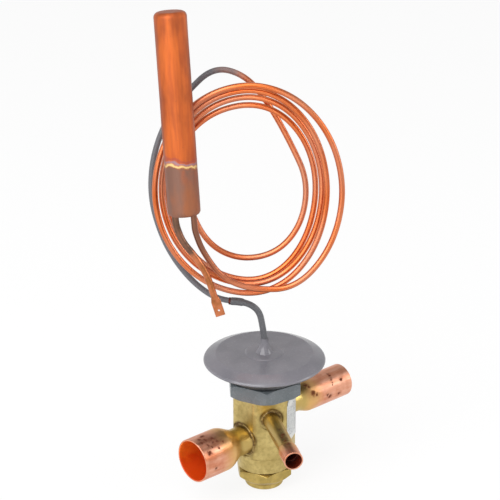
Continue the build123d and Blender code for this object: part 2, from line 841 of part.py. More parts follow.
with BuildPart() as sensing_bulb:
    with BuildSketch(bulb_plane):
        Circle(bulb_radius)
    extrude(amount=bulb_length)
    bulb_ends = sensing_bulb.edges().filter_by(GeomType.CIRCLE).sort_by(Axis.Z)
    fillet(bulb_ends[0], radius=bulb_bottom_rounding)
    fillet(bulb_ends[-1], radius=bulb_top_rounding)
    # a drawn shell, closed all round but for the holes that the two tubes sit in
    add(bulb_hollow.part, mode=Mode.SUBTRACT)
    with BuildSketch(bulb_plane):
        with Locations(capillary_hole):
            Circle(capillary_radius + capillary_clearance)
        with Locations(charging_hole):
            Circle(charging_radius + capillary_clearance)
    extrude(amount=bulb_wall, mode=Mode.SUBTRACT)
sensing_bulb.part.label = "sensing_bulb"
export_step(sensing_bulb.part, "parts/sensing_bulb.step")

# ---------------------------------------------------------------- capillary
# Hand-laid stretch from the stub up the left side and once round: across, up, out.
lead_points = [
    (-36.5, -55.5, -11.6),
    (-47.5, -42.5, -11.8),
    (-55.4, -27.5, -12.0),
    (-60.9, -7.5, -12.0),
    (-59.9, 13.5, -12.0),
    (-53.4, 33.0, -11.8),
    (-42.0, 49.3, -11.6),
    (-27.0, 63.9, -11.4),
    (-10.0, 59.3, -11.0),
    (2.5, 43.5, -10.6),
    (14.0, 22.5, -10.2),
    (23.0, 2.5, -9.8),
    (19.8, -20.8, -9.4),
    (6.5, -36.8, -9.0),
    (-14.0, -40.4, -8.7),
    (-31.5, -30.8, -8.4),
    (-41.5, -8.0, -8.1),
]
# Four loose turns, clockwise as seen from the front: how far each reaches to each side
# of the coil's middle. A turn's last quarter takes the next turn's reach to the left.
coil_middle_u = -8.0
turn_count = 4
turn_steps = 12
turn_right = [34.8, 38.1, 40.6, 48.4]
turn_left = [42.0, 43.5, 46.5, 49.8]
turn_up = [44.1, 49.0, 53.2, 56.5]
turn_down = [50.2, 51.5, 55.5, 58.0]
bulb_steps = 3
turn_first_depth = -8.0
turn_depth = 3.9
corner_allowance = 1 / math.cos(math.pi / turn_steps)
turn_points = []
for step in range(1, turn_count * turn_steps - bulb_steps):
    phase = step / turn_steps
    angle = math.pi - 2 * math.pi * phase
    turn = int(phase)
    across = turn_right[turn] if math.cos(angle) > 0 else turn_left[min(round(phase), turn_count - 1)]
    height = turn_up[turn] if math.sin(angle) > 0 else turn_down[turn]
    turn_points.append(
        (
            coil_middle_u + across * corner_allowance * math.cos(angle),
            height * corner_allowance * math.sin(angle),
            turn_first_depth + turn_depth * phase,
        )
    )
# Hand-laid end that comes out of the last turn and up into the bulb's foot.
tail_points = [
    (-6.0, -52.5, 8.0),
    (-22.5, -46.0, 9.0),
    (-32.6, -31.0, 11.5),
    (-36.6, -19.5, 14.0),
]
capillary_port = bulb_foot + bulb_across * (bulb_port_spread / 2)
capillary_points = [
    stub_mouth.origin + coil_right * capillary_insert,
    stub_mouth.origin - coil_right * straight_lead,
]
capillary_points += [in_coil(*place) for place in lead_points + turn_points + tail_points]
capillary_points += [capillary_port - bulb_along * port_straight, capillary_port + bulb_along * bulb_insert]
capillary_bends = bend_radii(capillary_points)
print("capillary bend radii", [round(radius, 1) for radius in capillary_bends])
with BuildPart() as capillary_tube:
    with BuildLine():
        capillary_line = FilletPolyline(*capillary_points, radius=capillary_bends)
    with BuildSketch(Plane(origin=capillary_line @ 0, z_dir=capillary_line % 0)):
        Circle(capillary_radius)
    sweep(path=capillary_line)
capillary_tube.part.label = "capillary_tube"
export_step(capillary_tube.part, "parts/capillary_tube.step")
capillary_section = math.pi * capillary_radius**2
print("capillary length", round(capillary_line.length, 1))
capillary_share = capillary_tube.part.volume / capillary_section / capillary_line.length
print("volume over section times length", round(capillary_share, 4))

# ---------------------------------------------------------------- charging tube
# Hand-laid route below the bulb: across and up, in the plane of the bulb's axis.
charging_route = [
    (-43.2, -24.5),
    (-36.2, -33.0),
    (-30.5, -42.2),
    (-26.7, -54.1),
]
charging_port = bulb_foot - bulb_across * (bulb_port_spread / 2)
charging_points = [charging_port + bulb_along * bulb_insert, charging_port - bulb_along * port_straight]
charging_points += [in_coil(u, v, bulb_depth) for u, v in charging_route]
with BuildPart() as charging_tube:
    with BuildLine():
        charging_line = FilletPolyline(*charging_points, radius=bend_radii(charging_points))
    with BuildSketch(Plane(origin=charging_line @ 0, z_dir=charging_line % 0)):
        Circle(charging_radius)
    sweep(path=charging_line)
    # the end is pinched flat and pierced
    charging_along = charging_line % 1
    charging_across = charging_along.cross(coil_normal)
    round_end = Plane(origin=charging_line @ 1, x_dir=charging_across, z_dir=charging_along)
    with BuildSketch(round_end):
        Circle(charging_radius)
    with BuildSketch(round_end.offset(charging_pinch_length)):
        SlotOverall(charging_flat_width, charging_flat_thickness)
    loft()
    with BuildSketch(round_end.offset(charging_pinch_length)):
        SlotOverall(charging_flat_width, charging_flat_thickness)
    extrude(amount=charging_flat_length)
    hole_middle = round_end.origin + charging_along * (charging_pinch_length + charging_hole_place)
    with BuildSketch(Plane(origin=hole_middle, z_dir=coil_normal)):
        Circle(charging_hole_radius)
    extrude(amount=charging_flat_thickness, both=True, mode=Mode.SUBTRACT)
charging_tube.part.label = "charging_tube"
export_step(charging_tube.part, "parts/charging_tube.step")
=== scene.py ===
import math
import bpy
import numpy as np
from mathutils import Matrix, Vector


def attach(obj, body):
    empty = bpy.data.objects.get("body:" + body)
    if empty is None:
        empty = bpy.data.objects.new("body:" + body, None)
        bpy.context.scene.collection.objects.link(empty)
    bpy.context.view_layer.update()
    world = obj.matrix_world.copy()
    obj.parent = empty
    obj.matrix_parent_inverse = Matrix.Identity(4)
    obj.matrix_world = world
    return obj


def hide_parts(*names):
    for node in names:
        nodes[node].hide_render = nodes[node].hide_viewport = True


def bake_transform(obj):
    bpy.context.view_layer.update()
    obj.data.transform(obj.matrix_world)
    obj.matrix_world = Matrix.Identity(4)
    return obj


# Refrigerant expansion valve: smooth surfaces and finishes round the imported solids, in metres.
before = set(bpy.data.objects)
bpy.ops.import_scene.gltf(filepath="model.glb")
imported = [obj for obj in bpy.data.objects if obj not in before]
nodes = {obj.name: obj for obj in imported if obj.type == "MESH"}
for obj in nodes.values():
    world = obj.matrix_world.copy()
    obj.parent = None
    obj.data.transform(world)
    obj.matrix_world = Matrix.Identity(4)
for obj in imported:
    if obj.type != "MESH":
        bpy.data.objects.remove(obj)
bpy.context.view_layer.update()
mm = 0.001
print("frame loaded with", len(nodes), "nodes")

cameraSetup = {
    "turn": -41.58,         # degrees round the valve; 0 looks along +Y
    "rise": 24.06,          # degrees above the horizon
    "distance": 1.2,
    "aimAcross": -0.00788,  # how far to the right of the axis it aims
    "aimHeight": 0.14128,
    "lens": 161.96,
    "film": 36.0,
}


def linked(name, data):
    piece = bpy.data.objects.new(name, data)
    bpy.context.collection.objects.link(piece)
    return piece


def placeCamera(setup):
    # back = (sin t cos e, -cos t cos e, sin e), right = (cos t, sin t, 0), up = back x right
    turn, rise = math.radians(setup["turn"]), math.radians(setup["rise"])
    back = Vector((math.sin(turn) * math.cos(rise), -math.cos(turn) * math.cos(rise), math.sin(rise)))
    right = Vector((math.cos(turn), math.sin(turn), 0))
    aim = right * setup["aimAcross"] + Vector((0, 0, setup["aimHeight"]))
    lensData = bpy.data.cameras.new("viewCamera")
    lensData.lens = setup["lens"]
    lensData.sensor_width = setup["film"]
    lensData.clip_end = 50
    camera = linked("viewCamera", lensData)
    turned = Matrix((right, back.cross(right), back)).transposed().to_4x4()
    camera.matrix_world = Matrix.Translation(aim + back * setup["distance"]) @ turned
    bpy.context.scene.camera = camera


placeCamera(cameraSetup)
bpy.context.scene.view_settings.view_transform = "Standard"
print("camera placed")


# Node helpers: every finish below is wired from these few, each in the node tree of its first input.
def screenColour(code):
    # sRGB hex to linear: ((c + 0.055) / 1.055) to the power 2.4, or c / 12.92 for the darkest
    parts = np.array([int(code[i:i + 2], 16) for i in (0, 2, 4)]) / 255
    linear = np.where(parts <= 0.04045, parts / 12.92, ((parts + 0.055) / 1.055) ** 2.4)
    return tuple(linear) + (1.0,)


def addNode(owner, kind, inputs=None, **settings):
    tree = owner.id_data
    node = tree.nodes.new(kind)
    for key, value in settings.items():
        setattr(node, key, value)
    for key, value in (inputs or {}).items():
        if isinstance(value, bpy.types.NodeSocket):
            tree.links.new(value, node.inputs[key])
        else:
            node.inputs[key].default_value = value
    return node


def objectPlace(tree):
    return addNode(tree, "ShaderNodeTexCoord").outputs["Object"]


def ownPlace(tree):
    # across, aside and along of a piece made by this script, as it was worked out
    return addNode(tree, "ShaderNodeAttribute", attribute_name="partSpace").outputs["Vector"]


def startFinish(name, metallic, roughness):
    finish = bpy.data.materials.new(name)
    finish.use_nodes = True
    tree = finish.node_tree
    shader = tree.nodes["Principled BSDF"]
    shader.inputs["Metallic"].default_value = metallic
    shader.inputs["Roughness"].default_value = roughness
    return finish, tree, shader


def placedFinish(name, metallic, roughness, where=objectPlace):
    finish, tree, shader = startFinish(name, metallic, roughness)
    return finish, shader, where(tree)


def grain(place, size, stretch=(1, 1, 1), detail=3.0):
    # noise with blotches about size metres across, drawn out by stretch along each axis
    scale = [1 / (size * part) for part in stretch]
    scaled = addNode(place, "ShaderNodeMapping", {"Vector": place, "Scale": scale}).outputs["Vector"]
    settings = {"Vector": scaled, "Scale": 1.0, "Detail": detail, "Roughness": 0.55}
    return addNode(place, "ShaderNodeTexNoise", settings).outputs["Fac"]


def ease(value, low, high, start=0.0, end=1.0):
    # smooth step of value: start up to low, end from high on
    settings = {"Value": value, "From Min": low, "From Max": high, "To Min": start, "To Max": end}
    return addNode(value, "ShaderNodeMapRange", settings, interpolation_type="SMOOTHSTEP").outputs["Result"]


def patches(place, size, low, high, start=0.0, end=1.0, **kind):
    # grain drawn out into patches: start where it lies below low, end where above high
    return ease(grain(place, size, **kind), low, high, start, end)


def maths(operation, first, second=0.0):
    return addNode(first, "ShaderNodeMath", {0: first, 1: second}, operation=operation).outputs[0]


def times(first, second):
    return maths("MULTIPLY", first, second)


def plus(first, second):
    return maths("ADD", first, second)


def minus(first, second):
    return maths("SUBTRACT", first, second)


def larger(first, second):
    return maths("MAXIMUM", first, second)


def offFrom(value, middle):
    # how far value is from middle, either way
    return maths("ABSOLUTE", minus(value, middle))


def wander(noise, reach):
    # noise made a shift of up to half of reach either way
    return times(minus(noise, 0.5), reach)


def distanceTo(place, centre=(0, 0, 0)):
    measure = {0: place, 1: centre}
    return addNode(place, "ShaderNodeVectorMath", measure, operation="DISTANCE").outputs["Value"]


def feed(shader, **values):
    # wires values into the shader's colour, metallic, roughness and normal
    sockets = {"colour": "Base Color", "metallic": "Metallic", "roughness": "Roughness", "normal": "Normal"}
    for key, value in values.items():
        shader.id_data.links.new(value, shader.inputs[sockets[key]])


def mixColour(factor, first, second):
    # each of the two colours is a hex code or another node's output
    first, second = (screenColour(part) if isinstance(part, str) else part for part in (first, second))
    return addNode(factor, "ShaderNodeMix", {0: factor, 6: first, 7: second}, data_type="RGBA").outputs[2]


def splitPlace(place):
    return addNode(place, "ShaderNodeSeparateXYZ", {0: place}).outputs


def joinPlace(owner, x, y, z):
    return addNode(owner, "ShaderNodeCombineXYZ", {0: x, 1: y, 2: z}).outputs[0]


def bump(height, depth, strength=1.0, under=None):
    settings = {"Height": height, "Distance": depth, "Strength": strength}
    if under is not None:
        settings["Normal"] = under
    return addNode(height, "ShaderNodeBump", settings).outputs["Normal"]


def softEdges(owner, radius):
    # normals of edges that are rounded off by hand wear
    return addNode(owner, "ShaderNodeBevel", {"Radius": radius}, samples=6).outputs["Normal"]


def spotMask(place, spots, blur):
    # 1 inside any of the marks, each (x, y, z, radius) in millimetres; edges wander with the noise
    ragged = wander(grain(place, 0.0013, detail=4.0), 0.0026)
    mask = None
    for x, y, z, radius in spots:
        centre = (x * mm, y * mm, z * mm)
        away = plus(distanceTo(place, centre), ragged)
        one = ease(away, radius * mm * (1 - blur), radius * mm * (1 + blur), 1.0, 0.0)
        mask = one if mask is None else larger(mask, one)
    return mask


# Surface helpers: grids of points worked out as whole arrays.
def meshFromRings(name, rings, partSpace, startPole, endPole, closed, sharp):
    # rows x columns x 3, each row a closed ring; closed also joins the last row to the first
    rows, columns = rings.shape[:2]
    points, own = rings.reshape(-1, 3), partSpace.reshape(-1, 3)
    here = np.arange(columns)
    following = (here + 1) % columns
    starts = np.arange(rows if closed else rows - 1)[:, None]
    low, high = starts * columns, (starts + 1) % rows * columns
    quads = np.stack([low + here, low + following, high + following, high + here], axis=-1).reshape(-1, 4)
    faces = quads.tolist()
    for pole, row, turned in ((startPole, 0, True), (endPole, rows - 1, False)):
        if pole is None:
            continue
        tip = np.full(columns, len(points))
        first, second = row * columns + here, row * columns + following
        if turned:
            first, second = second, first
        faces += np.stack([first, second, tip], axis=-1).tolist()
        points, own = np.vstack([points, pole[0]]), np.vstack([own, pole[1]])
    return finishPiece(meshOf(name, points, faces, own), sharp)


def meshOf(name, points, faces, own):
    # smooth mesh whose points remember their own place for the finish
    mesh = bpy.data.meshes.new(name)
    mesh.from_pydata(points.tolist(), [], faces)
    mesh.attributes.new("partSpace", "FLOAT_VECTOR", "POINT").data.foreach_set("vector", own.ravel())
    mesh.polygons.foreach_set("use_smooth", np.ones(len(mesh.polygons), dtype=bool))
    return mesh


def finishPiece(mesh, sharp):
    # outward faces by the sign of the enclosed volume, and shading that keeps real edges
    mesh.calc_loop_triangles()
    spots = np.empty(len(mesh.vertices) * 3)
    mesh.vertices.foreach_get("co", spots)
    corners = np.empty(len(mesh.loop_triangles) * 3, dtype=np.int64)
    mesh.loop_triangles.foreach_get("vertices", corners)
    a, b, c = spots.reshape(-1, 3)[corners].reshape(-1, 3, 3).transpose(1, 0, 2)
    if np.einsum("ij,ij->i", a, np.cross(b, c)).sum() < 0:
        mesh.flip_normals()
    mesh.set_sharp_from_angle(angle=math.radians(sharp))
    return linked(mesh.name, mesh)


def roundedProfile(corners, steps=6):
    # straight runs joined by arcs; each corner is (radius, height, fillet) in millimetres
    spots = np.array([corner[:2] for corner in corners], dtype=float)
    outline = [spots[0]]
    for before, corner, after, fillet in zip(spots, spots[1:], spots[2:], [c[2] for c in corners[1:]]):
        inward, outward = before - corner, after - corner
        reach = 0.48 * min(np.linalg.norm(inward), np.linalg.norm(outward))
        inward, outward = inward / np.linalg.norm(inward), outward / np.linalg.norm(outward)
        half = math.acos(np.clip(inward @ outward, -1, 1)) / 2
        cut = min(fillet / math.tan(half), reach)
        if cut < 1e-4:
            outline.append(corner)
            continue
        middle = corner + (inward + outward) * cut / (1 + inward @ outward)
        first, last = corner + inward * cut - middle, corner + outward * cut - middle
        sweep = np.linspace(0, math.atan2(first[0] * last[1] - first[1] * last[0], first @ last), steps)
        turned = np.outer(np.cos(sweep), first) + np.outer(np.sin(sweep), [-first[1], first[0]])
        outline += list(middle + turned)
    outline.append(spots[-1])
    return np.array(outline) * mm


def fineProfile(profile, step):
    # the same outline with points no further apart than step
    pieces = []
    for first, second in zip(profile, profile[1:]):
        count = max(1, math.ceil(np.linalg.norm(second - first) / step))
        pieces.append(first + (second - first) * np.arange(count)[:, None] / count)
    return np.vstack(pieces + [profile[-1:]])


def unit(vector):
    # vector / its length
    vector = np.array(vector, dtype=float)
    return vector / np.linalg.norm(vector)


def spinProfile(name, profile, origin=(0, 0, 0), along=(0, 0, 1), aside=(1, 0, 0), segments=128,
                closed=False, shape=None, sharp=35):
    # lathe: point (r, h) gives origin + h along + r (cos t aside + sin t other); shape may change r
    along = unit(along)
    aside = unit(np.array(aside) - along * np.dot(aside, along))
    other = np.cross(along, aside)
    angle = np.linspace(0, 2 * np.pi, segments, endpoint=False)[None, :]
    startPole = profile[0] if profile[0][0] < 1e-7 and not closed else None
    endPole = profile[-1] if profile[-1][0] < 1e-7 and not closed else None
    rows = profile[0 if startPole is None else 1:len(profile) - (0 if endPole is None else 1)]
    radius, height = rows[:, :1] + 0 * angle, rows[:, 1:] + 0 * angle
    if shape is not None:
        radius = shape(radius, angle + 0 * radius, height)
    local = np.stack([radius * np.cos(angle), radius * np.sin(angle), height], axis=-1)
    rings = np.array(origin) + local @ np.stack([aside, other, along])

    def pole(point):
        return None if point is None else (np.array(origin) + along * point[1], (0, 0, point[1]))

    return meshFromRings(name, rings, local, pole(startPole), pole(endPole), closed, sharp)


def smoothLine(points, fineness=12):
    # points along the NURBS spline of order 3 whose control points are given
    curve = bpy.data.curves.new("guide", "CURVE")
    curve.dimensions = "3D"
    spline = curve.splines.new("NURBS")
    spline.points.add(len(points) - 1)
    spline.points.foreach_set("co", np.hstack([points, np.ones((len(points), 1))]).ravel())
    spline.order_u = 3
    spline.use_endpoint_u = True
    spline.resolution_u = fineness
    guide = linked("guide", curve)
    bpy.context.view_layer.update()
    line = bpy.data.meshes.new_from_object(guide.evaluated_get(bpy.context.evaluated_depsgraph_get()))
    spots = np.empty(len(line.vertices) * 3)
    line.vertices.foreach_get("co", spots)
    bpy.data.objects.remove(guide)
    bpy.data.curves.remove(curve)
    bpy.data.meshes.remove(line)
    return spots.reshape(-1, 3)


def runLength(line):
    # way along the line: the sum of its steps up to each point
    return np.concatenate([[0], np.cumsum(np.linalg.norm(np.diff(line, axis=0), axis=1))])


def tubeAlong(name, line, radius, firstSide=(0, 0, 1), segments=20):
    # pipe: at each point a circle of the given radius, square to the line and carried with least twist
    radius = np.broadcast_to(radius, len(line))[:, None]
    heading = np.gradient(line, axis=0)
    heading /= np.linalg.norm(heading, axis=1)[:, None]
    side = np.empty_like(line)
    current = unit(firstSide)
    for i, ahead in enumerate(heading):
        current = unit(current - ahead * (current @ ahead))
        side[i] = current
    angle = np.linspace(0, 2 * np.pi, segments, endpoint=False)[None, :]
    across, through = radius * np.cos(angle), radius * np.sin(angle)
    sideways = across[..., None] * side[:, None]
    rings = line[:, None] + sideways + through[..., None] * np.cross(heading, side)[:, None]
    run = runLength(line)
    local = np.stack([across, through, run[:, None] + 0 * across], axis=-1)
    poles = [(line[i], (0, 0, run[i])) for i in (0, -1)]
    return meshFromRings(name, rings, local, *poles, False, 40)


def dress(piece, finish, slot, *replaced, body="valve"):
    piece.data.materials.append(finish)
    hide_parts(*replaced)
    if body is not None:
        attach(piece, body)


def wearOn(finish, *names):
    for name in names:
        nodes[name].data.materials.clear()
        nodes[name].data.materials.append(finish)


headSetup = {
    "radius": 33.3,
    "rim": 76.5,
    "rimBottom": 76.0,
    "crown": 80.2,
    "crownEdge": 26.5,
    "nose": (32.85, 77.31),
    "stepRadius": 10.6,
    "stepHeight": 0.6,
    "coneBase": 4.8,
    "coneTop": 89.0,
    "coneTopRadius": 2.05,
    "bore": 1.75,            # radius of the way up through the cone
    "wall": 1.5,
    "clamp": 29.0,           # radius inside which the case is hollow
    "colour": "76747a",
    "shade": "6c6b71",
    "stubShade": "5c5d60",
    "roughness": 0.17,
}


def greyCoat(name, colour, shade, roughness):
    # sprayed grey primer: slow drift of tone, fine orange peel, a little dust
    finish, shader, place = placedFinish(name, 0.0, roughness)
    drift = patches(place, 0.016, 0.3, 0.7)
    speck = patches(place, 0.0007, 0.58, 0.74, 0.0, 0.25, detail=2.0)
    tone = mixColour(drift, colour, shade)
    tone = mixColour(speck, tone, "a3a1a4")
    gloss = patches(place, 0.006, 0.3, 0.7, roughness - 0.03, roughness + 0.07)
    peel = bump(grain(place, 0.0011, detail=2.0), 0.00003, 0.35, softEdges(place, 0.00035))
    feed(shader, colour=tone, roughness=gloss, normal=peel)
    return finish


def makeHead(setup):
    # cone r = top + (base - top) (1 - rise) to the power 2.1, then step, crown, rim and hollow
    rise = np.linspace(1, 0, 16)
    crown, step, bore, peak = (setup[key] for key in ("crown", "stepHeight", "bore", "coneTop"))
    coneFoot = crown + step
    coneRadius = setup["coneTopRadius"] + (setup["coneBase"] - setup["coneTopRadius"]) * (1 - rise) ** 2.1
    cone = np.stack([coneRadius, coneFoot + (peak - coneFoot) * rise], axis=1) * mm
    ceiling = crown - setup["wall"]
    top = roundedProfile([
        (setup["coneBase"], coneFoot, 0),
        (setup["stepRadius"] - step, coneFoot, 0.6),
        (setup["stepRadius"], crown, 0.6),
        (setup["crownEdge"], crown, 1.4),
        (*setup["nose"], 2.2),
        (setup["radius"], setup["rim"], 0.6),
        (setup["radius"], setup["rimBottom"], 0.2),
        (setup["clamp"], setup["rimBottom"], 0),
        (setup["clamp"] - 3.0, ceiling, 1.4),
        (bore + setup["wall"], ceiling, 0),
        (bore, crown, 0),
        (bore, peak, 0),
    ])
    return spinProfile("headTop", np.vstack([cone, top[1:]]), segments=192, closed=True)


headCoat = greyCoat("headCoat", headSetup["colour"], headSetup["shade"], headSetup["roughness"])
dress(makeHead(headSetup), headCoat, "grey_case", "upper_case")

bowlSetup = {
    "foot": 18.45,
    "bottom": 66.4,
    "shoulder": (27.8, 72.8),
    "lip": (31.7, 74.85),
    "edge": (33.1, 75.75),
    "bore": 10.0,
    "wall": 0.8,             # thickness of the slope; the floor is thicker
    "floor": 1.5,
}


def makeBowl(setup, head):
    # closed lathe outline of the shallow bowl under the head
    inside = setup["bottom"] + setup["floor"]
    return spinProfile("headBowl", roundedProfile([
        (setup["bore"], setup["bottom"], 0),
        (setup["foot"], setup["bottom"], 0.5),
        (*setup["shoulder"], 3.0),
        (*setup["lip"], 0.8),
        (*setup["edge"], 0.3),
        (head["clamp"], setup["edge"][1], 0),
        (head["clamp"] - setup["wall"], setup["lip"][1], 1.0),
        (setup["foot"] - setup["wall"], inside, 1.0),
        (setup["bore"], inside, 0),
    ]), segments=160, closed=True)


# near-black coat on the bowl: painted shade for the deep gap under the head's rim
bowlShadeCoat = greyCoat("bowlShadeCoat", "3b3c41", "2e2f33", 0.42)
dress(makeBowl(bowlSetup, headSetup), bowlShadeCoat, "grey_case", "lower_case")
print("head made")


def hexShape(flats, flatAngle, softness=0.09):
    # r becomes the softened least of r and the hexagon's flats / 2 / cos(angle off the flat's middle)
    def shape(radius, angle, height):
        off = (angle - math.radians(flatAngle) + math.pi / 6) % (math.pi / 3) - math.pi / 6
        flat = flats * mm / 2 / np.cos(off)
        soft = softness * mm
        lesser = np.minimum(radius, flat)
        return lesser - soft * np.log(np.exp((lesser - radius) / soft) + np.exp((lesser - flat) / soft))

    return shape


elementSetup = {
    "flats": 38.1,
    "corner": 231.4,         # bearing of one corner
    "bottom": 58.1,
    "top": 66.4,
    "bevel": 1.9,
    "bevelHeight": 1.1,
    "bore": 13.06,
    "neck": 10.0,            # radius and height of the narrower ring at the top of the bore
    "neckHeight": 1.2,
}


def makeElementHex(setup):
    # lathe outline whose r outside the bore is cut to the hexagon, r = flats / 2 / cos(angle off the flat)
    corner = setup["flats"] / 2 / math.cos(math.pi / 6)
    shape = hexShape(setup["flats"], setup["corner"] + 30)

    def outside(radius, angle, height):
        return np.where(radius < (setup["bore"] + 0.44) * mm, radius, shape(radius, angle, height))

    outline = fineProfile(roundedProfile([
        (setup["bore"], setup["bottom"], 0),
        (corner - setup["bevel"], setup["bottom"], 0.2),
        (corner, setup["bottom"] + setup["bevelHeight"], 0.3),
        (corner, setup["top"] - setup["bevelHeight"], 0.3),
        (corner - setup["bevel"], setup["top"], 0.2),
        (setup["neck"], setup["top"], 0),
        (setup["neck"], setup["top"] - setup["neckHeight"], 0),
        (setup["bore"], setup["top"] - setup["neckHeight"], 0),
    ]), 0.2 * mm)
    return spinProfile("elementHexagon", outline, segments=360, closed=True, shape=outside, sharp=28)


hexCoat = greyCoat("hexCoat", "6c7276", "5a6165", 0.26)
dress(makeElementHex(elementSetup), hexCoat, "grey_hex", "element_hex")

brassSetup = {
    "light": "d0ba7a",
    "middle": "baa467",
    "dark": "97844e",
    "stain": "5c4628",
    "roughness": 0.3,
    "ports": ((0, 43.8, 6.9), (180, 32.0, 8.0), (242.5, 46.5, 4.6)),  # angle, level and neck of each
    "facet": (13.5, 14.2),   # the stains fade in between these distances from the axis
}


def portHeat(place, facet, angle, level, neck):
    # 1 round a fitting's joint, on its own side of the body, dying out 3 mm further
    turned = addNode(place, "ShaderNodeVectorRotate", {"Vector": place, "Angle": -math.radians(angle)},
                     rotation_type="Z_AXIS").outputs["Vector"]
    x, y, z = splitPlace(turned)
    drop = minus(z, level * mm)
    away = distanceTo(joinPlace(place, 0.0, y, drop))
    ring = ease(away, (neck + 1.6) * mm, (neck + 3.2) * mm, 1.0, 0.0)
    near = ease(x, facet[0] * mm, facet[1] * mm)
    above = ease(drop, -0.5 * neck * mm, 0.8 * neck * mm, 0.35, 1.0)
    return times(times(ring, near), above)


def brassFinish(name, setup, stained):
    # machined bar brass: blotchy dulling, brushed streaks round and along, heat stains at the joints
    finish, shader, place = placedFinish(name, 1.0, setup["roughness"])
    blotch = patches(place, 0.011, 0.34, 0.66, detail=4.0)
    fine = patches(place, 0.0022, 0.38, 0.68)
    tone = mixColour(blotch, setup["light"], setup["middle"])
    tone = mixColour(times(fine, 0.45), tone, setup["dark"])
    if stained:
        heat = None
        for port in setup["ports"]:
            one = portHeat(place, setup["facet"], *port)
            heat = one if heat is None else larger(heat, one)
        patchy = patches(place, 0.0028, 0.3, 0.6, 0.45, 1.0)
        tone = mixColour(times(heat, patchy), tone, setup["stain"])
    gloss = patches(place, 0.004, 0.3, 0.7, setup["roughness"], setup["roughness"] + 0.16)
    turning = grain(place, 0.0006, stretch=(60, 60, 0.4), detail=2.0)
    brushed = bump(turning, 0.00003, 0.5, softEdges(place, 0.00025))
    pits = bump(grain(place, 0.0009), 0.00008, 0.35, brushed)
    feed(shader, colour=tone, roughness=gloss, normal=pits)
    return finish


bodyBrass = brassFinish("bodyBrass", brassSetup, True)
capBrass = brassFinish("capBrass", {**brassSetup, "light": "cab068", "middle": "b39a56"}, False)
wearOn(bodyBrass, "valve_body")

capSetup = {
    "flats": 28.6,
    "flatAngle": 204.0,
    "foot": 10.7,
    "footHeight": 3.0,
    "top": 12.0,
    "lowerBevel": 5.6,
    "lowerBevelHeight": 5.0,
    "upperBevel": 2.2,
    "upperBevelHeight": 1.1,
    "bore": 10.3,
    "floor": 3.2,
}


def makeCap(setup):
    # round foot, then a hexagon as above with two bevels, hollow from the top
    corner = setup["flats"] / 2 / math.cos(math.pi / 6)
    shape = hexShape(setup["flats"], setup["flatAngle"])

    def outside(radius, angle, height):
        return np.where(radius < setup["foot"] * mm * 1.001, radius, shape(radius, angle, height))

    outline = fineProfile(roundedProfile([
        (0, 0, 0),
        (setup["foot"], 0, 1.6),
        (setup["foot"], setup["footHeight"], 0),
        (corner - setup["lowerBevel"], setup["footHeight"], 0.1),
        (corner, setup["footHeight"] + setup["lowerBevelHeight"], 0.4),
        (corner, setup["top"] - setup["upperBevelHeight"], 0.2),
        (corner - setup["upperBevel"], setup["top"], 0.1),
        (setup["bore"], setup["top"], 0.15),
        (setup["bore"], setup["floor"], 0.5),
        (0, setup["floor"], 0),
    ]), 0.22 * mm)
    return spinProfile("sealCap", outline, segments=300, shape=outside, sharp=28)


dress(makeCap(capSetup), capBrass, "brass_cap", "seal_cap", body="cap")
print("body, hexagon and cap made")

fittingSetup = {
    # inside: colours of the socket's inner wall, painted bounce light above and painted shade below; the
    # equalizer's are dark, painted shade of its narrow bore
    "outlet": {
        "angle": 180, "level": 32.0, "neck": 8.0, "neckWall": 1.3, "flare": (21.5, 33.0), "socket": 11.15,
        "wall": 0.95, "depth": 19.0, "reach": 51.9, "inside": ("f07a22", "cf480e"),
        # marks as (degrees from straight up, distance, size), towards -Y for the inlet, +Y for the outlet
        "marks": ((-14, 45.4, 0.9), (-31, 46.2, 0.6), (-30, 42.5, 0.7), (-52, 47.7, 1.2), (-31, 39.8, 0.8),
                  (4, 44.4, 1.2), (-37, 36.5, 0.7), (-4, 47.9, 0.8), (-99, 45.6, 0.6), (-17, 41.0, 0.9),
                  (-50, 41.0, 0.5), (-19, 48.6, 0.6), (-40, 44.6, 0.5), (-24, 44.0, 0.4)),
    },
    "inlet": {
        "angle": 0, "level": 43.8, "neck": 6.9, "neckWall": 1.3, "flare": (21.5, 30.0), "socket": 7.95,
        "wall": 1.2, "depth": 16.0, "reach": 58.4, "inside": ("c9652f", "8e3f1f"),
        "marks": ((24, 27.8, 1.1), (34, 28.6, 0.7), (62, 29.4, 1.5), (70, 31.6, 0.9), (55, 51.1, 0.8),
                  (102, 48.4, 0.7), (98, 41.3, 0.9), (90, 39.4, 0.6), (17, 45.5, 0.45), (26, 45.4, 0.5),
                  (35, 45.0, 0.5), (44, 44.7, 0.45), (53, 44.4, 0.4), (61, 44.2, 0.3)),
    },
    "equalizer": {
        "angle": 242.5, "level": 46.5, "neck": 4.6, "neckWall": 0.9, "flare": (48.0, 51.0), "socket": 4.4,
        "wall": 0.8, "depth": 8.0, "reach": 62.2, "inside": ("7a2410", "4a1408"),
        "marks": ((4, 35.1, 0.8), (3, 40.9, 1.3), (14, 43.2, 1.0), (10, 47.4, 1.2), (-6, 45.0, 0.8),
                  (5, 52.1, 0.8)),
    },
}


def portWay(setup):
    # start, direction and upward side of a port
    angle = math.radians(setup["angle"])
    return (0, 0, setup["level"] * mm), (math.cos(angle), math.sin(angle), 0), (0, 0, 1)


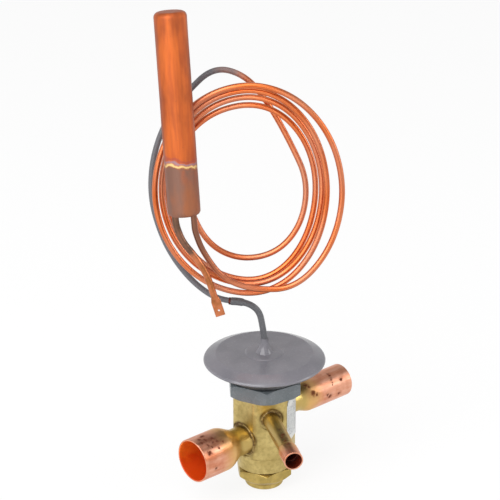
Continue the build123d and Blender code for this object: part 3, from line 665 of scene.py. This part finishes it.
def makeFitting(name, setup):
    # lathe outline along the port: neck, flare r = a + (b - a)(3 t t - 2 t t t), socket, lip, stop, bore
    start, end = setup["flare"]
    root, ledge, neck, reach, socket = 12.5, 0.6, setup["neck"], setup["reach"], setup["socket"]
    outer, bore, stop = socket + setup["wall"], neck - setup["neckWall"], reach - setup["depth"]
    t = np.linspace(0, 1, 28)
    swell = 3 * t ** 2 - 2 * t ** 3
    flareOut = np.stack([neck + (outer - neck) * swell, start + (end - start) * t], axis=1)
    flareIn = np.stack([bore + (socket - ledge - bore) * swell, start + (stop - start) * t], axis=1)[::-1]
    lip = roundedProfile([
        (outer, end + 1, 0),
        (outer, reach, 0.3),
        (socket, reach, 0.35),
        (socket, stop, 0.1),
        (socket - ledge, stop, 0),
    ]) / mm
    neckOut = np.array([[neck, root], [neck, start - 1.5]])
    outline = np.vstack([neckOut, flareOut, lip, flareIn[1:], [[bore, root]]]) * mm
    outline = fineProfile(outline, 0.6 * mm)
    phase = np.random.default_rng(round(setup["angle"]) + 7).uniform(0, 2 * np.pi, 4)

    def handFormed(radius, turn, height):
        # a few hundredths of a millimetre out of round
        wave = np.sin(2 * turn + phase[0] + height * 90)
        wave += 0.6 * np.sin(3 * turn + phase[1] - height * 140) + 0.4 * np.sin(height * 420 + phase[2])
        return radius + 0.022 * mm * wave

    return spinProfile(name, outline, *portWay(setup), 144, True, handFormed)


def markPlaces(setup):
    # marks lie on the outside: (r cos t, r sin t, distance), with t measured from straight up
    outer = setup["socket"] + setup["wall"]
    places = []
    for degrees, distance, size in setup["marks"]:
        turn = math.radians(degrees)
        places.append((outer * math.cos(turn), outer * math.sin(turn), distance, size))
    return places


copperSetup = {
    "pink": "ecb296",
    "rose": "dd9878",
    "gold": "ddb070",
    "brass": "c4a966",
    "oxide": "6a3222",
    "haze": "8d5b45",
    "roughness": 0.36,
}


def fittingFinish(name, setup, copper):
    # drawn copper: brassy at the heated neck, gold at the flare, pink towards the mouth, brown marks,
    # painted glow and shade inside
    finish, shader, place = placedFinish(name, 1.0, copper["roughness"], ownPlace)
    x, y, distance = splitPlace(place)
    reach = plus(distance, wander(grain(place, 0.008), 0.009))
    start, end = setup["flare"]
    streak = patches(place, 0.0016, 0.32, 0.68, stretch=(1, 1, 9), detail=4.0)
    tone = mixColour(streak, copper["pink"], copper["rose"])
    cloud = patches(place, 0.007, 0.42, 0.72, 0.0, 0.55)
    tone = mixColour(cloud, tone, "c4714d")
    golden = ease(reach, (end - 3) * mm, (end + 9) * mm, 1.0, 0.0)
    tone = mixColour(golden, tone, copper["gold"])
    brassy = ease(reach, (start + 1) * mm, (end - 1) * mm, 1.0, 0.0)
    tone = mixColour(brassy, tone, copper["brass"])
    marks = spotMask(place, markPlaces(setup), 0.6)
    halo = spotMask(place, [(a, b, c, size * 2.2) for a, b, c, size in markPlaces(setup)], 0.7)
    tone = mixColour(times(halo, 0.35), tone, copper["haze"])
    tone = mixColour(times(marks, 0.85), tone, copper["oxide"])
    # the inside is whatever lies deeper than most of the wall under the outer outline; its colour is
    # painted bounce light, a vivid orange glow, with painted shade, darker towards the bottom
    outer = (setup["socket"] + setup["wall"]) * mm
    outline = ease(distance, start * mm, end * mm, setup["neck"] * mm, outer)
    across = distanceTo(joinPlace(place, x, y, 0.0))
    inner = ease(minus(outline, across), 0.55 * mm, 0.78 * mm)
    depth = plus(ease(x, 0.004, -0.008), patches(place, 0.005, 0.4, 0.7, 0.0, 0.5))
    tone = mixColour(inner, tone, mixColour(depth, *setup["inside"]))
    matt = copper["roughness"]
    gloss = patches(place, 0.003, 0.3, 0.7, matt - 0.03, matt + 0.12, stretch=(1, 1, 4))
    drawn = bump(grain(place, 0.0005, stretch=(1, 1, 30), detail=2.0), 0.00003, 0.4)
    dimples = bump(grain(place, 0.0045, detail=2.0), 0.00022, 0.3, drawn)
    feed(shader, colour=tone, metallic=ease(inner, 0.0, 1.0, 1.0, 0.15),
         roughness=plus(gloss, times(marks, 0.3)), normal=dimples)
    return finish


brazeSetup = {"height": 0.9, "width": 1.1, "floor": 14.8}  # floor: how far its flat side is from the axis


def makeBraze(name, setup, braze):
    # hollow fillet round the neck whose width wanders as poured solder does
    neck, floor, width, height = setup["neck"], braze["floor"], braze["width"], braze["height"]
    t = np.linspace(0, 1, 10)
    hollow = np.stack([neck + width * (1 - t) ** 1.7, floor + height * t ** 1.7], axis=1)
    foot, tip = [[neck - 0.2, floor - 0.3], [neck + width, floor - 0.3]], [[neck - 0.2, floor + height]]
    outline = np.vstack([foot, hollow, tip])
    phase = np.random.default_rng(round(setup["angle"]) + 3).uniform(0, 2 * np.pi, 5)

    def poured(radius, turn, along):
        # r + sum of sin((k + 2) turn + phase) / (k + 1.5), k from 0 to 4, fading to nothing at the neck
        wave = sum(np.sin((k + 2) * turn + phase[k]) / (k + 1.5) for k in range(5))
        return radius + np.clip(radius / mm - neck, 0, 1) * 0.28 * mm * wave

    outline = fineProfile(outline * mm, 0.2 * mm)
    return spinProfile(name, outline, *portWay(setup), 120, True, poured, 60)


def solderFinish():
    # silver solder with burnt flux: brown, rough and granular, brighter where it ran clean
    finish, shader, place = placedFinish("brazeMetal", 1.0, 0.5)
    burnt = patches(place, 0.0022, 0.3, 0.7)
    tone = mixColour(burnt, "a58d58", "6e5638")
    feed(shader, colour=tone, roughness=ease(burnt, 0.0, 1.0, 0.35, 0.7),
         normal=bump(grain(place, 0.0012, detail=2.0), 0.00015, 0.4))
    return finish


brazeMetal = solderFinish()
for port, setup in fittingSetup.items():
    finish = fittingFinish(port + "Copper", setup, copperSetup)
    dress(makeFitting(port + "Tube", setup), finish, "copper_fitting", port + "_fitting")
    dress(makeBraze(port + "Braze", setup, brazeSetup), brazeMetal, "solder", port + "_braze")
print("fittings made")

# Leaning plane of the coil: across, up and out of it, from a point above the valve.
coilSetup = {
    "view": -41.6,
    "lean": 10.0,
    "level": 176.0,
    "tube": 1.5875,
    "middle": -8.0,
    "turns": 4,
    "steps": 12,
    "bulbSteps": 3,
    "firstDepth": -8.0,
    "turnDepth": 3.9,
    "right": (34.8, 38.1, 40.6, 48.4),
    "left": (42.0, 43.5, 46.5, 49.8),
    "up": (44.1, 49.0, 53.2, 56.5),
    "down": (50.2, 51.5, 55.5, 58.0),
    "insert": 5.0,
    "straight": 5.0,
}
viewAngle, lean = math.radians(coilSetup["view"]), math.radians(coilSetup["lean"])
coilRight = np.array([math.cos(viewAngle), math.sin(viewAngle), 0])
coilFront = np.array([math.sin(viewAngle), -math.cos(viewAngle), 0])
coilNormal = coilFront * math.cos(lean) + np.array([0, 0, math.sin(lean)])
coilUp = np.cross(coilNormal, coilRight)


def inCoil(places):
    # world point = origin + across right + up up + out normal, from millimetres
    axes = np.stack([coilRight, coilUp, coilNormal])
    return np.array([0, 0, coilSetup["level"] * mm]) + np.array(places) * mm @ axes


stubSetup = {
    # points lie across and up in the upright plane that faces the camera
    "points": ((0, 84.4), (0, 90.9), (-4.0, 111.1), (-18.5, 111.1)),
    "radius": 1.75,
    "bell": 2.15,
    "bellLength": 6.5,
    "bellStep": 1.4,         # length over which it swells
    "bevel": 0.25,
}


def inStub(across, height):
    # across right + height up
    return coilRight * across * mm + np.array([0, 0, height * mm])


def makeStub(setup):
    # tube that swells by a smooth step to its bell, with a bevelled mouth
    line = smoothLine(np.array([inStub(*point) for point in setup["points"]]), 24)
    run = runLength(line) / mm
    left = run[-1] - run
    t = np.clip((setup["bellLength"] + 1.2 - left) / setup["bellStep"], 0, 1)
    radius = setup["radius"] + (setup["bell"] - setup["radius"]) * (3 * t ** 2 - 2 * t ** 3)
    radius = radius - setup["bevel"] * np.clip(1 - left / setup["bevel"], 0, 1)
    return tubeAlong("headStub", line, radius * mm, coilFront, 32)


stubCoat = greyCoat("stubCoat", headSetup["stubShade"], "525357", 0.34)
dress(makeStub(stubSetup), stubCoat, "grey_case", "capillary_stub")

bulbSetup = {
    "foot": (-42.1, -10.1, 15.0),
    "tilt": 3.6,
    "length": 107.0,
    "radius": 8.6,
    "bottomRounding": 2.4,
    "topRounding": 2.8,
    "portSpread": 9.6,
    "insert": 2.0,
    "temper": 27.5,          # height of the temper line above the foot
    "colour": "b65828",
    "deep": "8e4322",
    "bright": "cd682b",
    # edge: painted shade, the mauve brown where the bulb turns away from the eye
    "burnt": "7f5c4e",
    "edge": "94604f",
    "metallic": 0.6,
    "roughness": 0.5,
}
tilt = math.radians(bulbSetup["tilt"])
bulbFoot = inCoil(bulbSetup["foot"])
bulbAlong = -coilRight * math.sin(tilt) + coilUp * math.cos(tilt)
bulbAcross = coilRight * math.cos(tilt) + coilUp * math.sin(tilt)


def makeBulb(setup):
    # closed cylinder with rounded ends, r a few hundredths of a millimetre more or less by waves
    outline = fineProfile(roundedProfile([
        (0, 0, 0),
        (setup["radius"], 0, setup["bottomRounding"]),
        (setup["radius"], setup["length"], setup["topRounding"]),
        (0, setup["length"], 0),
    ], 10), 1.2 * mm)

    def drawn(radius, turn, height):
        # hammered a few hundredths out of round, less near the ends
        wave = np.sin(2 * turn + 60 * height) + 0.5 * np.sin(3 * turn - 95 * height + 1)
        wave = wave + 0.5 * np.sin(180 * height)
        return radius + 0.03 * mm * wave * (radius > 8 * mm)

    return spinProfile("sensingBulb", outline, bulbFoot, bulbAlong, bulbAcross, 128, False, drawn)


def bulbFinish(setup):
    # drawn copper with long streaks; brown below a temper line of blue, gold and straw
    finish, shader, place = placedFinish("bulbCopper", setup["metallic"], setup["roughness"], ownPlace)
    x, y, height = splitPlace(place)
    streak = patches(place, 0.0022, 0.3, 0.7, stretch=(1, 1, 12), detail=4.0)
    patch = patches(place, 0.012, 0.4, 0.7, stretch=(1, 1, 2.5))
    tone = mixColour(streak, setup["colour"], setup["bright"])
    tone = mixColour(times(patch, 0.85), tone, setup["deep"])
    ragged = wander(grain(place, 0.009, detail=4.0), 0.01)
    level = plus(plus(height, ragged), times(x, 0.16))
    line = setup["temper"] * mm
    brown = mixColour(patch, setup["burnt"], "9d6040")
    tone = mixColour(ease(level, line + 0.0005, line - 0.002), tone, brown)
    warm = ease(level, line - 0.012, line - 0.004, 0.0, 0.6)
    warm = times(warm, ease(level, line - 0.0015, line - 0.003))
    tone = mixColour(times(warm, patch), tone, "b5532a")
    # bands of the temper line, each one's middle this far above it
    for offset, width, colour, strength in (
        (0.0, 0.0012, "e8cf8c", 0.9), (0.0016, 0.0012, "8d8798", 0.7), (0.0036, 0.0016, "8f3f4a", 0.45),
    ):
        away = offFrom(level, line + offset)
        tone = mixColour(ease(away, 0.0, width, strength, 0.0), tone, colour)
    # painted sheen and shade by view angle: the tone stays where the bulb faces the eye and turns mauve and
    # brown where it turns away
    facing = addNode(place, "ShaderNodeLayerWeight", {"Blend": 0.5}).outputs["Facing"]
    tone = mixColour(ease(facing, 0.35, 0.95, 0.0, 0.7), tone, setup["edge"])
    specks = patches(place, 0.0009, 0.69, 0.76, 0.0, 0.5, detail=2.0)
    tone = mixColour(specks, tone, "6b4a34")
    pit = spotMask(place, [(-3.6, 7.8, 96.0, 0.7)], 0.4)
    tone = mixColour(pit, tone, "4a2616")
    matt = setup["roughness"]
    gloss = patches(place, 0.004, 0.3, 0.7, matt - 0.06, matt + 0.12, stretch=(1, 1, 5))
    drawn = bump(grain(place, 0.0006, stretch=(1, 1, 40), detail=2.0), 0.00005, 0.5)
    feed(shader, colour=tone, roughness=gloss, normal=drawn)
    return finish


dress(makeBulb(bulbSetup), bulbFinish(bulbSetup), "copper_bulb", "sensing_bulb")

# Stretches of the capillary given point by point: once round before the loops, and on to the bulb's foot
# after them.
leadPoints = [
    (-36.5, -55.5, -11.6),
    (-47.5, -42.5, -11.8),
    (-55.4, -27.5, -12.0),
    (-60.9, -7.5, -12.0),
    (-59.9, 13.5, -12.0),
    (-53.4, 33.0, -11.8),
    (-42.0, 49.3, -11.6),
    (-27.0, 63.9, -11.4),
    (-10.0, 59.3, -11.0),
    (2.5, 43.5, -10.6),
    (14.0, 22.5, -10.2),
    (23.0, 2.5, -9.8),
    (19.8, -20.8, -9.4),
    (6.5, -36.8, -9.0),
    (-14.0, -40.4, -8.7),
    (-31.5, -30.8, -8.4),
    (-41.5, -8.0, -8.1),
]
tailPoints = [
    (-6.0, -52.5, 8.0),
    (-22.5, -46.0, 9.0),
    (-32.6, -31.0, 11.5),
    (-36.6, -19.5, 14.0),
]


def loopPoints(setup):
    # each turn is an ellipse whose four reaches grow; its points stand out by 1 / cos(pi / steps)
    count = setup["turns"] * setup["steps"] - setup["bulbSteps"]
    phase = np.arange(1, count) / setup["steps"]
    angle = np.pi - 2 * np.pi * phase
    turn = phase.astype(int)
    following = np.minimum(np.round(phase).astype(int), setup["turns"] - 1)
    right, left, up, down = (np.array(setup[side]) for side in ("right", "left", "up", "down"))
    across = np.where(np.cos(angle) > 0, right[turn], left[following])
    height = np.where(np.sin(angle) > 0, up[turn], down[turn])
    outward = 1 / math.cos(math.pi / setup["steps"])
    return np.stack([
        setup["middle"] + across * outward * np.cos(angle),
        height * outward * np.sin(angle),
        setup["firstDepth"] + setup["turnDepth"] * phase,
    ], axis=1)


def capillaryRoute(setup):
    # stub mouth, laid stretch, loops, laid stretch and the bulb's foot, a few millimetres into each end
    mouth = inStub(*stubSetup["points"][-1])
    port = bulbFoot + bulbAcross * bulbSetup["portSpread"] / 2 * mm
    return np.vstack([
        mouth + coilRight * setup["insert"] * mm,
        mouth - coilRight * setup["straight"] * mm,
        inCoil(leadPoints),
        inCoil(loopPoints(setup)),
        inCoil(tailPoints),
        port - bulbAlong * setup["straight"] * mm,
        port + bulbAlong * bulbSetup["insert"] * mm,
    ])


capillaryLine = smoothLine(capillaryRoute(coilSetup), 12)
capillaryLength = runLength(capillaryLine)[-1]
print("capillary length", round(capillaryLength, 4))

tubeSetup = {
    "colour": "e58350",
    "deep": "cc6330",
    "dull": "c98d72",
    "paint": "5d5c60",
    "burnt": "7d5c4c",
    "paintEnd": (0.158, 0.19),   # the grey coat thins out between these runs along the tube
    "heat": 0.055,               # how far from the bulb its brown heat tint reaches
    "roughness": 0.33,
}


def capillaryFinish(setup, length):
    # bare drawn copper after a grey coat that fades out, dull and bright by turns, brown at the bulb
    finish, shader, place = placedFinish("capillaryCopper", 1.0, setup["roughness"], ownPlace)
    run = splitPlace(place)[2]
    slow = ease(grain(joinPlace(place, 0.0, 0.0, run), 0.07, detail=2.0), 0.42, 0.62)
    streak = patches(place, 0.0011, 0.34, 0.66, stretch=(1, 1, 22))
    tone = mixColour(streak, setup["colour"], setup["deep"])
    tone = mixColour(times(slow, 0.75), tone, setup["dull"])
    worn = plus(run, wander(grain(place, 0.012), 0.03))
    coat = ease(worn, *setup["paintEnd"], 1.0, 0.0)
    tone = mixColour(coat, tone, setup["paint"])
    heat = ease(worn, length - setup["heat"], length - 0.3 * setup["heat"])
    tone = mixColour(times(heat, 0.9), tone, setup["burnt"])
    gloss = ease(slow, 0.0, 1.0, setup["roughness"], setup["roughness"] + 0.14)
    drawn = bump(grain(place, 0.0005, stretch=(1, 1, 30), detail=2.0), 0.00003, 0.4)
    feed(shader, colour=tone, metallic=ease(coat, 0.0, 1.0, 1.0, 0.0),
         roughness=plus(gloss, times(coat, 0.12)), normal=drawn)
    return finish


capillary = tubeAlong("capillary", capillaryLine, coilSetup["tube"] * mm, coilFront, 20)
dress(capillary, capillaryFinish(tubeSetup, capillaryLength), "copper_capillary", "capillary_tube")

ringSetup = {
    # corners as (radius, way out of the bell's mouth, rounding)
    "corners": ((1.58, -0.2, 0), (2.0, -0.2, 0.1), (2.0, 0.4, 0.25), (1.72, 0.95, 0.2), (1.58, 1.0, 0)),
    "colours": ("6b2f22", "2e1512"),
}


def makeStubBraze(setup):
    # soldered ring round the capillary at the bell's mouth
    outline = fineProfile(roundedProfile(setup["corners"]), 0.1 * mm)

    def poured(radius, turn, height):
        # r + 0.35 sin(2 turn + 1) sin(3 turn), fading to nothing at the tube
        wave = 0.35 * np.sin(2 * turn + 1) * np.sin(3 * turn)
        return radius + np.clip(radius / mm - 1.6, 0, 1) * mm * wave

    mouth = inStub(*stubSetup["points"][-1])
    return spinProfile("stubBraze", outline, mouth, -coilRight, (0, 0, 1), 48, True, poured, 50)


def ringFinish(setup):
    # dark burnt solder
    finish, shader, place = placedFinish("stubBrazeMetal", 0.8, 0.45)
    burnt = patches(place, 0.001, 0.35, 0.65)
    feed(shader, colour=mixColour(burnt, *setup["colours"]), normal=bump(burnt, 0.0001, 0.4))
    return finish


dress(makeStubBraze(ringSetup), ringFinish(ringSetup), "solder", "capillary_braze")

chargingSetup = {
    "copper": ("cf7d55", "a8683f"),
    "brown": ("8c6450", "6f5546"),
    "change": (0.146, 0.154),   # bright copper turns brown between these heights
}


def chargingFinish(setup):
    # fine tube that was brazed at its upper end and pinched flat at the lower one
    finish, shader, place = placedFinish("chargingCopper", 1.0, 0.34)
    patch = patches(place, 0.005, 0.35, 0.65)
    level = plus(splitPlace(place)[2], times(patch, 0.006))
    brown = ease(level, *setup["change"])
    tone = mixColour(brown, mixColour(patch, *setup["copper"]), mixColour(patch, *setup["brown"]))
    fine = bump(grain(place, 0.0009), 0.0001, 0.35, softEdges(place, 0.0002))
    feed(shader, colour=tone, roughness=ease(patch, 0.0, 1.0, 0.28, 0.42), normal=fine)
    return finish


wearOn(chargingFinish(chargingSetup), "charging_tube")
print("bulb, capillary and stub made")

labelSetup = {
    "angle": 300,
    "width": 15.6,
    "height": 27.0,
    "bottom": 29.5,
    "corner": 3.2,
    "lift": 15.52,
    "thick": 0.2,
}


def makeLabel(setup):
    # flat sheet on one facet: width narrows at the cut corner, whose tip lifts by a tenth of a millimetre
    v, u = np.meshgrid(np.linspace(0, 1, 56), np.linspace(0, 1, 28), indexing="ij")
    height = v * setup["height"]
    cut = np.clip(height - (setup["height"] - setup["corner"]), 0, setup["corner"])
    width = -setup["width"] / 2 + cut + u * (setup["width"] - cut)
    curl = 0.12 * np.clip((v - 0.88) / 0.12, 0, 1) * np.clip((0.3 - u) / 0.3, 0, 1)
    angle = math.radians(setup["angle"])
    outward = np.array([math.cos(angle), math.sin(angle), 0])
    aside = np.array([-math.sin(angle), math.cos(angle), 0])
    up = np.array([0, 0, 1])
    out = (setup["lift"] + curl)[..., None] * outward
    points = (out + width[..., None] * aside + (setup["bottom"] + height)[..., None] * up) * mm
    index = np.arange(v.size).reshape(v.shape)
    faces = np.stack([index[:-1, :-1], index[:-1, 1:], index[1:, 1:], index[1:, :-1]], axis=-1)
    own = np.stack([width, height, 0 * width], axis=-1) * mm
    mesh = meshOf("bodyLabel", points.reshape(-1, 3), faces.reshape(-1, 4).tolist(), own)
    sheet = linked("bodyLabel", mesh)
    thick = sheet.modifiers.new("thickness", "SOLIDIFY")
    thick.thickness = setup["thick"] * mm
    thick.offset = 1
    return sheet


def labelFinish():
    # pale film with plain rows of grey blocks
    finish, shader, place = placedFinish("labelFilm", 0.0, 0.42, ownPlace)
    x, y = splitPlace(place)[:2]
    rows = maths("FRACT", times(x, 1 / 0.0022))
    row = ease(offFrom(rows, 0.5), 0.22, 0.3, 1.0, 0.0)
    blocks = patches(place, 0.0007, 0.47, 0.53, stretch=(1.6, 1, 1), detail=1.0)
    aside = maths("ABSOLUTE", x)
    margin = ease(aside, 0.0062, 0.0066, 1.0, 0.0)
    ends = ease(offFrom(y, 0.0125), 0.009, 0.0094, 1.0, 0.0)
    ink = times(times(row, blocks), times(margin, ends))
    film = mixColour(patches(place, 0.004, 0.3, 0.7), "d6d7d4", "c3c6c5")
    ink = larger(ink, ease(offFrom(aside, 0.0071), 0.0001, 0.0003, 1.0, 0.0))
    tone = mixColour(times(ink, 0.85), film, "4c5154")
    feed(shader, colour=tone, roughness=patches(place, 0.003, 0.3, 0.7, 0.34, 0.5),
         normal=bump(grain(place, 0.0025, detail=2.0), 0.00008, 0.4))
    return finish


dress(makeLabel(labelSetup), labelFinish(), "label_film", "body_label")


def innerFinish(name, light, dark, metallic, roughness):
    # machined or moulded inner piece: fine turning marks and a slow change of tone
    finish, shader, place = placedFinish(name, metallic, roughness)
    drift = patches(place, 0.004, 0.35, 0.65)
    turning = grain(place, 0.0004, stretch=(30, 30, 0.5), detail=2.0)
    feed(shader, colour=mixColour(drift, light, dark),
         roughness=ease(drift, 0.0, 1.0, roughness - 0.04, roughness + 0.08),
         normal=bump(turning, 0.00003, 0.5, softEdges(place, 0.00015)))
    return finish


wearOn(innerFinish("innerBrass", "c9a95c", "b0924c", 1.0, 0.28),
       "spring_guide", "pin_carrier", "stem_gland", "adjusting_stem")
wearOn(innerFinish("innerSteel", "b9b8b6", "a09f9e", 1.0, 0.26),
       "valve_pin", "push_rods", "buffer_plate", "valve_seat", "diaphragm")

springSetup = {"mean": 5.4, "wire": 0.5, "turns": 3.5, "bottom": 24.95, "height": 7.7, "split": 0.7}


def makeSpringPart(name, setup, first, last):
    # helix (r cos a, r sin a, bottom + height t) with a = 2 pi turns t, from t = first to t = last
    t = np.linspace(first, last, 120)
    angle = 2 * np.pi * setup["turns"] * t
    line = np.stack([setup["mean"] * np.cos(angle), setup["mean"] * np.sin(angle),
                     setup["bottom"] + setup["height"] * t], axis=1)
    return tubeAlong(name, line * mm, setup["wire"] * mm, (0, 0, 1), 20)


# The spring in two parts, below and above the split.
springSteel = innerFinish("springWire", "8e8d8b", "75746f", 1.0, 0.35)
lowerSpring = makeSpringPart("springLower", springSetup, 0.0, springSetup["split"])
dress(lowerSpring, springSteel, "spring_steel", "superheat_spring", body=None)
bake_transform(lowerSpring)
upperSpring = makeSpringPart("springUpper", springSetup, springSetup["split"], 1.0)
dress(upperSpring, springSteel, "spring_steel", "superheat_spring", body=None)
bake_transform(upperSpring)
wearOn(innerFinish("blackRubber", "1c1c1e", "26262a", 0.0, 0.6), "stem_seal")
wearOn(innerFinish("sealCopper", "c98058", "a9623f", 1.0, 0.36),
       "element_gasket", "gland_seal", "seal_cap_gasket")
print("label and inner pieces finished")

studioSetup = {
    "floorSize": 9.0,
    "floorColour": "f4f4f4",
    "floorGlow": 0.85,         # share of plain white that the eye sees in the floor
    "horizon": 0.85,           # strength of the surroundings level with the floor, and overhead
    "zenith": 0.4,
    "lamps": {                 # name: (across, front, height, width, watts)
        "frontBox": (-0.6, 1.0, 1.05, 1.5, 25),
        "topBox": (0.1, 0.1, 1.5, 0.8, 3),
        "rightBox": (1.3, 0.2, 0.7, 0.6, 4),
    },
}


def makeFloor(setup):
    half = setup["floorSize"] / 2
    mesh = bpy.data.meshes.new("floor")
    corners = [(-half, -half, 0), (half, -half, 0), (half, half, 0), (-half, half, 0)]
    mesh.from_pydata(corners, [], [(0, 1, 2, 3)])
    floor = linked("floor", mesh)
    finish, tree, shader = startFinish("floorPaper", 0.0, 0.9)
    shader.inputs["Base Color"].default_value = screenColour(setup["floorColour"])
    seen = addNode(tree, "ShaderNodeLightPath").outputs
    direct = larger(seen["Is Camera Ray"], seen["Is Glossy Ray"])
    direct = larger(direct, seen["Is Transmission Ray"])
    glow = addNode(tree, "ShaderNodeEmission", {"Color": (1, 1, 1, 1), "Strength": 1.0}).outputs[0]
    share = times(direct, setup["floorGlow"])
    mixed = addNode(tree, "ShaderNodeMixShader", {0: share, 1: shader.outputs[0], 2: glow}).outputs[0]
    tree.links.new(mixed, tree.nodes["Material Output"].inputs["Surface"])
    mesh.materials.append(finish)


def makeSurroundings(setup):
    # pale near the floor and darker overhead, white to the eye
    world = bpy.data.worlds.new("studio")
    world.use_nodes = True
    bpy.context.scene.world = world
    tree = world.node_tree
    way = addNode(tree, "ShaderNodeTexCoord").outputs["Generated"]
    level = ease(splitPlace(way)[2], 0.2, 0.75, setup["horizon"], setup["zenith"])
    seen = addNode(tree, "ShaderNodeLightPath").outputs["Is Camera Ray"]
    strength = larger(level, seen)
    tree.links.new(strength, tree.nodes["Background"].inputs["Strength"])
    tree.nodes["Background"].inputs["Color"].default_value = (1, 1, 1, 1)


def placeLamps(setup):
    aim = Vector((0, 0, 0.13))
    for name, (across, front, height, width, watts) in setup["lamps"].items():
        data = bpy.data.lights.new(name, "AREA")
        data.size = width
        data.energy = watts
        lamp = linked(name, data)
        lamp.location = Vector(coilRight * across + coilFront * front) + Vector((0, 0, height))
        lamp.rotation_euler = (lamp.location - aim).to_track_quat("Z", "Y").to_euler()


makeFloor(studioSetup)
makeSurroundings(studioSetup)
placeLamps(studioSetup)
print("studio made")
